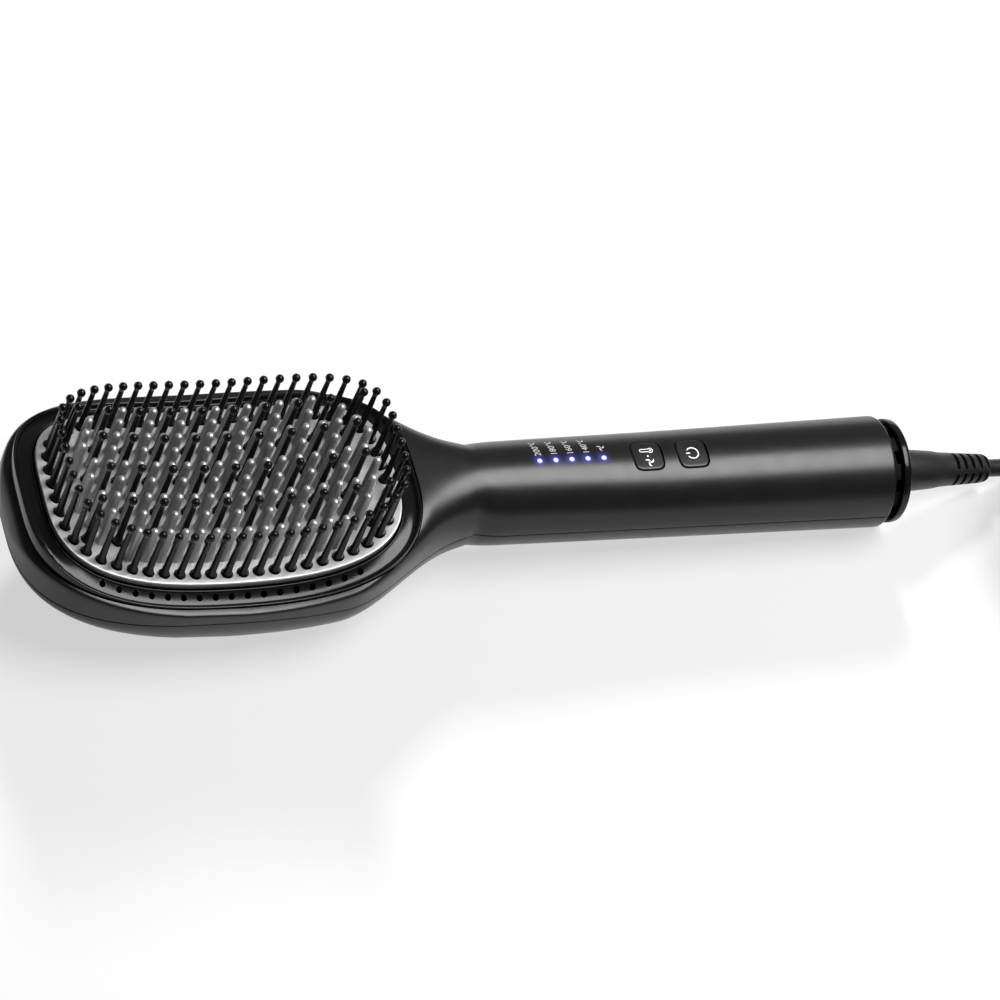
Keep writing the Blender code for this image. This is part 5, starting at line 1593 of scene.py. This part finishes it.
@dataclass
class SupplyCord:
    """The cord from the boot to its coil on the floor, its strap and its plug."""

    pose: RestPose
    end: HandleEnd
    diameter: float = 0.0056
    straight: float = 0.0056
    lead_reach: float = 0.0410
    mean_radius: float = 0.0329
    turn_pitch: float = 0.0062
    layer_pitch: float = 0.0062
    layers: int = 4
    turns_a_layer: float = 1.9676
    rise_turns: float = 0.5
    points_a_turn: int = 48
    tie_thickness: float = 0.0006
    tie_width: float = 0.0050
    tie_corner: float = 0.0030
    tie_inner_corner: float = 0.0026
    tail_bend: float = 0.0270
    tail_sweep: float = math.radians(125)
    plug_length: float = 0.0370
    plug_width: float = 0.0340
    plug_height: float = 0.0136
    plug_nose: float = 0.0110
    plug_swell: Profile = ((0.0, 0.0), (0.25, 0.12), (0.6, 0.75), (0.8, 1.0), (1.0, 1.0))
    plug_edge: float = 0.0010
    plug_roundness: float = 0.55
    rib_depth: float = 0.00035
    ribs_along: int = 9
    rib_middle: float = 0.55
    rib_reach: float = 0.3
    pin_radius: float = 0.0020
    pin_length: float = 0.0190
    pin_spacing: float = 0.0186
    sleeve_share: float = 0.52
    bare_share: Pair = (0.54, 0.93)
    pin_nose: Profile = ((-0.0014, 0.93), (-0.0005, 0.7), (0.0, 0.25))

    def coil(self, centre: Array, floor: float) -> Array:
        """Piled loops that run in and out at a steady rate, a layer at a time.

        Clockwise seen from above. The radius is the mean plus the span times
        (0.5 - share inwards), and the height climbs one layer in the half turn about each
        reversal, by a smooth step. The last climb starts the layer that the tail carries on.
        """
        turns = self.layers * self.turns_a_layer + self.rise_turns / 2
        turn = np.linspace(0, turns, round(turns * self.points_a_turn) + 1)
        span = self.turn_pitch * self.turns_a_layer
        layer = np.floor(turn / self.turns_a_layer)
        along = turn / self.turns_a_layer - layer
        inward = np.where(layer % 2 == 0, along, 1 - along)
        radius = self.mean_radius + span * (0.5 - inward)
        climb = np.zeros(len(turn))
        for reversal in range(1, self.layers + 1):
            climb += ease((turn - reversal * self.turns_a_layer) / self.rise_turns + 0.5)
        flat = centre[:2] + circle(math.pi / 2 - math.tau * turn, radius)
        return np.column_stack([flat, floor + self.layer_pitch * climb])

    def strap_inside(self) -> Array:
        """The width and height that the strap closes round."""
        clear = self.diameter / 2 + FIT_GAP
        span = self.turn_pitch * self.turns_a_layer
        height = self.layer_pitch * (self.layers - 1) + 2 * clear
        return np.array([span + 2 * clear + self.turn_pitch / 2, height])

    def tail(self, start: Array, way: Array) -> tuple[Array, Array]:
        """The cord's end, which bends over the coil to the plug that lies on the strap.

        Args:
            start: Where the coil ends.
            way: The way the cord goes there.

        Returns:
            A level run of one diameter, a clockwise arc whose height rises by a smooth
            step, another level run, and the level way that it ends in.
        """
        heading = math.atan2(way[1], way[0])
        first = start + way * self.diameter
        height = self.strap_inside()[1] + 2 * self.tie_thickness + FIT_GAP + self.plug_height / 2
        share = np.linspace(0, 1, 31)
        angle = heading + math.pi / 2 - self.tail_sweep * share
        x = first[0] + self.tail_bend * (math.sin(heading) + np.cos(angle))
        y = first[1] + self.tail_bend * (np.sin(angle) - math.cos(heading))
        arc = np.stack([x, y, first[2] + (height - first[2]) * ease(share)], -1)
        heading -= self.tail_sweep
        flat = np.array([math.cos(heading), math.sin(heading), 0.0])
        return np.concatenate([[start], arc, [arc[-1] + flat * self.diameter]]), flat

    def route(self) -> tuple[Array, Array, Array]:
        """The cord's whole centreline, its coil's centre and the way the tail ends."""
        floor = self.diameter / 2 + self.tie_thickness + FIT_GAP
        way = self.end.boot_turn()[:, 0]
        along = self.pose.turn @ way
        boot_end = self.pose.point(np.array([self.end.ball_x, 0, 0]) + self.end.boot_length * way)
        exit_point = boot_end + FIT_GAP * along
        straight = exit_point + self.straight * along
        outer = self.mean_radius + self.turn_pitch * self.turns_a_layer / 2
        centre = np.array([exit_point[0] + self.lead_reach, straight[1] - outer, 0])
        coil = self.coil(centre, floor)
        entry_way, leave_way = unit(coil[1] - coil[0]), unit(coil[-1] - coil[-2])
        entry = coil[0] - self.diameter * entry_way
        reach = float(np.linalg.norm(entry - straight))
        bend = hermite(straight, along * reach, entry, entry_way * reach, 16)
        tail, flat = self.tail(coil[-1] + (self.diameter + FIT_GAP) * leave_way, leave_way)
        return np.concatenate([[exit_point], bend, coil, tail]), centre, flat

    def build_cord(self, path: Array) -> None:
        """The cord as one round curve, which takes the place of the lead, coil and tail nodes."""
        curve = bpy.data.curves.new("supply_cord", "CURVE")
        curve.dimensions = "3D"
        curve.bevel_depth = self.diameter / 2
        curve.bevel_resolution = 7
        curve.use_fill_caps = True
        spline = curve.splines.new("POLY")
        spline.points.add(len(path) - 1)
        spline.points.foreach_set("co", np.insert(path, 3, 1.0, axis=1).ravel())
        spline.use_smooth = True
        cord = add_object("supply_cord", curve)
        nodes = ["cord_lead", "cord_coil", "cord_tail"]
        hand_over(cord, RUBBER_BLACK, Body.CORD_END, nodes)
        LOG.info("cord length %.4f m", lengths_along(path)[-1])

    def build_tie(self, centre: Array) -> Piece:
        """The strap round the piled turns: a band with rounded corners."""
        inside = self.strap_inside()
        around = SQUARE / 2 * (inside + 2 * self.tie_thickness)
        outer = eased_corners(around, self.tie_corner, 9)
        inner = eased_corners(SQUARE / 2 * inside, self.tie_inner_corner, 9)
        half = self.tie_width / 2
        edges = ((outer, -half), (outer, half), (inner, half), (inner, -half))
        band = grid(np.array([np.insert(edge, 0, x, axis=1) for edge, x in edges]), ring=True)
        height = inside[1] / 2 + self.tie_thickness
        tie = piece_of("coil_strap", band.shifted(centre[0], centre[1] - self.mean_radius, height))
        return hand_over(tie, STRAP, Body.CORD_END, ["cord_tie"], 40)

    def plug_form(self) -> Surface:
        """The plug's moulding along X: a narrow nose that swells to flat sides with ribs."""
        share = np.linspace(0, 1, 61)
        swell = np.interp(share, *np.transpose(self.plug_swell))
        kernel = np.hanning(11)
        swell = np.convolve(np.pad(swell, 5, mode="edge"), kernel / kernel.sum(), mode="valid")
        ribbed = np.clip(1 - np.abs(share - self.rib_middle) / self.rib_reach, 0, 1)
        ribs = self.rib_depth * np.cos(share * math.tau * self.ribs_along) * ribbed
        end = np.clip((1 - share) * self.plug_length / self.plug_edge, 0, 1)
        round_end = self.plug_edge * (1 - np.sqrt(1 - (1 - end) ** 2))
        nose = self.plug_nose
        wide, high = (
            (nose + (full - nose) * swell) / 2 for full in (self.plug_width, self.plug_height)
        )
        half = np.stack([wide + ribs - round_end, high - round_end], -1)
        rim = signed_power(circle(round_turn(64)), self.plug_roundness)
        x = np.repeat((share * self.plug_length)[:, None], 64, axis=1)
        return grid(np.dstack([x, half[:, None] * rim]))

    def build_plug(self, start: Array, way: Array) -> list[Piece]:
        """A flat moulded two-pin plug that lies on the strap, with finger ribs."""
        turn = np.column_stack([way, [-way[1], way[0], 0], [0, 0, 1]])
        plug = piece_of("plug_moulding", self.plug_form().moved(turn, start))
        made = [hand_over(plug, RUBBER_BLACK, Body.CORD_END, ["plug_body"], 50)]
        r, length = self.pin_radius, self.pin_length
        sleeve = [(0.0, 0.0), (0.0, r), (length * self.sleeve_share, r)]
        bare = (length * self.bare_share[0], r * self.bare_share[1])
        nose = [(length + past, r * share) for past, share in self.pin_nose]
        pin = turned([*sleeve, bare, *nose, (length, 0.0)], 40)
        for name, side in (("1", -1), ("2", 1)):
            foot = [self.plug_length + FIT_GAP, side * self.pin_spacing / 2, 0]
            prong = piece_of(f"plug_prong_{name}", pin.moved(turn, start + turn @ foot))
            node = [f"plug_pin_{name}"]
            made.append(hand_over(prong, NICKEL, Body.CORD_END, node, 35))
        return made

    def build(self) -> None:
        """The cord with its strap and plug."""
        path, centre, flat = self.route()
        pieces = self.build_plug(path[-1] + FIT_GAP * flat, flat)
        pieces.append(self.build_tie(centre))
        self.build_cord(path)


# Pieces inside


@dataclass
class InnerParts:
    """The parts inside the housing, whose solids are right and only get their finish."""

    nodes: dict[str, Piece]
    finishes: dict[str, Finish] = field(
        default_factory=lambda: {
            "ceramic_heater": CERAMIC,
            "mica_sheet": MICA,
            "heater_clamp": STEEL,
            "thermal_fuse": GLAZED_WHITE,
            "thermostat": SWITCH_GREY,
            "heat_shield": SHIELD_BOARD,
            "control_board": CIRCUIT,
            "mode_switch": SWITCH_GREY,
            "power_switch": SWITCH_GREY,
            "fan_motor": MOTOR_STEEL,
            "motor_shaft": STEEL,
            "fan_impeller": INNER_BLACK,
            "motor_holder": INNER_BLACK,
            "swivel_retainer": INNER_BLACK,
            "heater_lead": WIRE_SLEEVE,
            "supply_lead": WIRE_SLEEVE,
            **{f"led_{k + 1}": LAMP_CHIP for k in range(5)},
        }
    )

    def build(self) -> None:
        """Gives each node its finish."""
        for name, finish in self.finishes.items():
            dress(self.nodes[name], finish)
            LOG.info("%s keeps its solid, %s finish", name, finish.name)


# Studio


@dataclass
class Studio:
    """The camera, the pale floor and the soft lights."""

    pose: RestPose
    azimuth: float = math.radians(-36.16)
    elevation: float = math.radians(50.94)
    roll: float = math.radians(26.11)
    distance: float = 1.600
    aim: Pair = (-0.08706, -0.00335)
    lens: float = 193.54
    sensor: float = 36.0
    floor_half: float = 4.0
    floor_albedo: float = 0.20
    floor_light: float = 0.61
    floor_roughness: float = 0.9
    floor_specular: float = 0.1
    far_end: float = 20.0
    world_seen: float = 0.90
    world_light: float = 0.10
    top_box: Triple = (0.38, -0.06, 0.98)
    top_size: Pair = (0.64, 0.68)
    top_power: float = 16.0
    back_box: Triple = (0.27, 1.75, 1.10)
    back_size: Pair = (0.28, 0.28)
    back_power: float = 76.0

    def build_camera(self) -> None:
        """The camera at the photograph's place: the long lens, its view and its roll."""
        sa, ca = math.sin(self.azimuth), math.cos(self.azimuth)
        se, ce = math.sin(self.elevation), math.cos(self.elevation)
        back = np.array([sa * ce, -ca * ce, se])
        level = np.array([ca, sa, 0.0])
        steep = np.cross(back, level)
        right = math.cos(self.roll) * level + math.sin(self.roll) * steep
        up = -math.sin(self.roll) * level + math.cos(self.roll) * steep
        centre = self.distance * back - self.aim[0] * right - self.aim[1] * up
        turn = self.pose.turn @ np.column_stack([right, up, back])
        data = bpy.data.cameras.new("view_camera")
        data.lens = self.lens
        data.sensor_width = self.sensor
        data.clip_end = self.far_end
        camera = add_object("view_camera", data)
        camera.matrix_world = Matrix.Translation(self.pose.point(centre)) @ Matrix(turn).to_4x4()
        bpy.context.scene.camera = camera

    def build_floor(self) -> None:
        """A wide white floor, a little lit of itself so that it clears to white."""
        mesh = bpy.data.meshes.new("floor")
        corners = np.insert(SQUARE * self.floor_half, 2, 0.0, axis=1)
        mesh.from_pydata(corners.tolist(), [], [[0, 1, 2, 3]])
        floor = add_object("floor", mesh)
        material = bpy.data.materials.new("floor white")
        material.use_nodes = True
        tree = material.node_tree
        path = add_node(tree, "LightPath").outputs
        seen = maths(tree, "MAXIMUM", path["Is Camera Ray"], path["Is Glossy Ray"])
        seen = maths(tree, "MAXIMUM", seen, path["Is Transmission Ray"])
        inputs = {
            "Base Color": (*(self.floor_albedo,) * 3, 1),
            "Roughness": self.floor_roughness,
            "Specular IOR Level": self.floor_specular,
            "Emission Color": (1, 1, 1, 1),
            "Emission Strength": maths(tree, "MULTIPLY", seen, self.floor_light),
        }
        wire(tree, tree.nodes["Principled BSDF"], inputs)
        mesh.materials.append(material)

    def softbox(
        self,
        name: str,
        place: Triple,
        size: Pair,
        power: float,
        shines: bool = True,
    ) -> None:
        """A rectangular soft light that faces the brush; one that doesn't shine adds no gloss."""
        data = bpy.data.lights.new(name, "AREA")
        data.shape = "RECTANGLE"
        data.size, data.size_y = size
        data.energy = power
        lamp = add_object(name, data)
        back = unit(np.array(place))
        side = unit(np.cross([0.0, 1.0, 0.0], back))
        turn = np.column_stack([side, np.cross(back, side), back])
        lamp.matrix_world = Matrix.Translation(place) @ Matrix(turn).to_4x4()
        lamp.visible_glossy = shines

    def build_lights(self) -> None:
        """A box overhead, a low one behind that throws the long shadow, and a dim world."""
        self.softbox("top_box", self.top_box, self.top_size, self.top_power)
        self.softbox("back_box", self.back_box, self.back_size, self.back_power, shines=False)
        world = bpy.data.worlds.new("studio")
        world.use_nodes = True
        tree = world.node_tree
        path = add_node(tree, "LightPath").outputs
        seen = maths(tree, "MULTIPLY", path["Is Camera Ray"], self.world_seen)
        strength = maths(tree, "ADD", seen, self.world_light)
        wire(tree, tree.nodes["Background"], {"Color": (1, 1, 1, 1), "Strength": strength})
        bpy.context.scene.world = world

    def build(self) -> None:
        """The whole studio."""
        self.build_camera()
        self.build_floor()
        self.build_lights()
        bpy.context.scene.view_settings.view_transform = "Standard"


def main() -> None:
    """Builds every sub-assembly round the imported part, in order."""
    logging.basicConfig(level=logging.INFO, format="%(message)s")
    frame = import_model()
    joints = {joint["name"]: joint for joint in frame["joints"]}
    pose = RestPose.from_fan_joint(joints["impeller_spin"], fan_x=0.1980)

    Studio(pose).build()
    end = HandleEnd(pose)
    SupplyCord(pose, end).build()
    end.build()

    form = HousingForm()
    oval = FaceOval(form)
    housing = Housing(form, oval, pose)
    housing.build_top()
    housing.build_bottom()
    face = BrushFace(form, oval, pose)
    face.build_plate()
    face.build_comb()
    face.build_bezel()
    Controls(form, housing, pose).build()
    Fasteners(form, pose).build()
    InnerParts(frame["nodes"]).build()


if __name__ == "__main__":
    main()
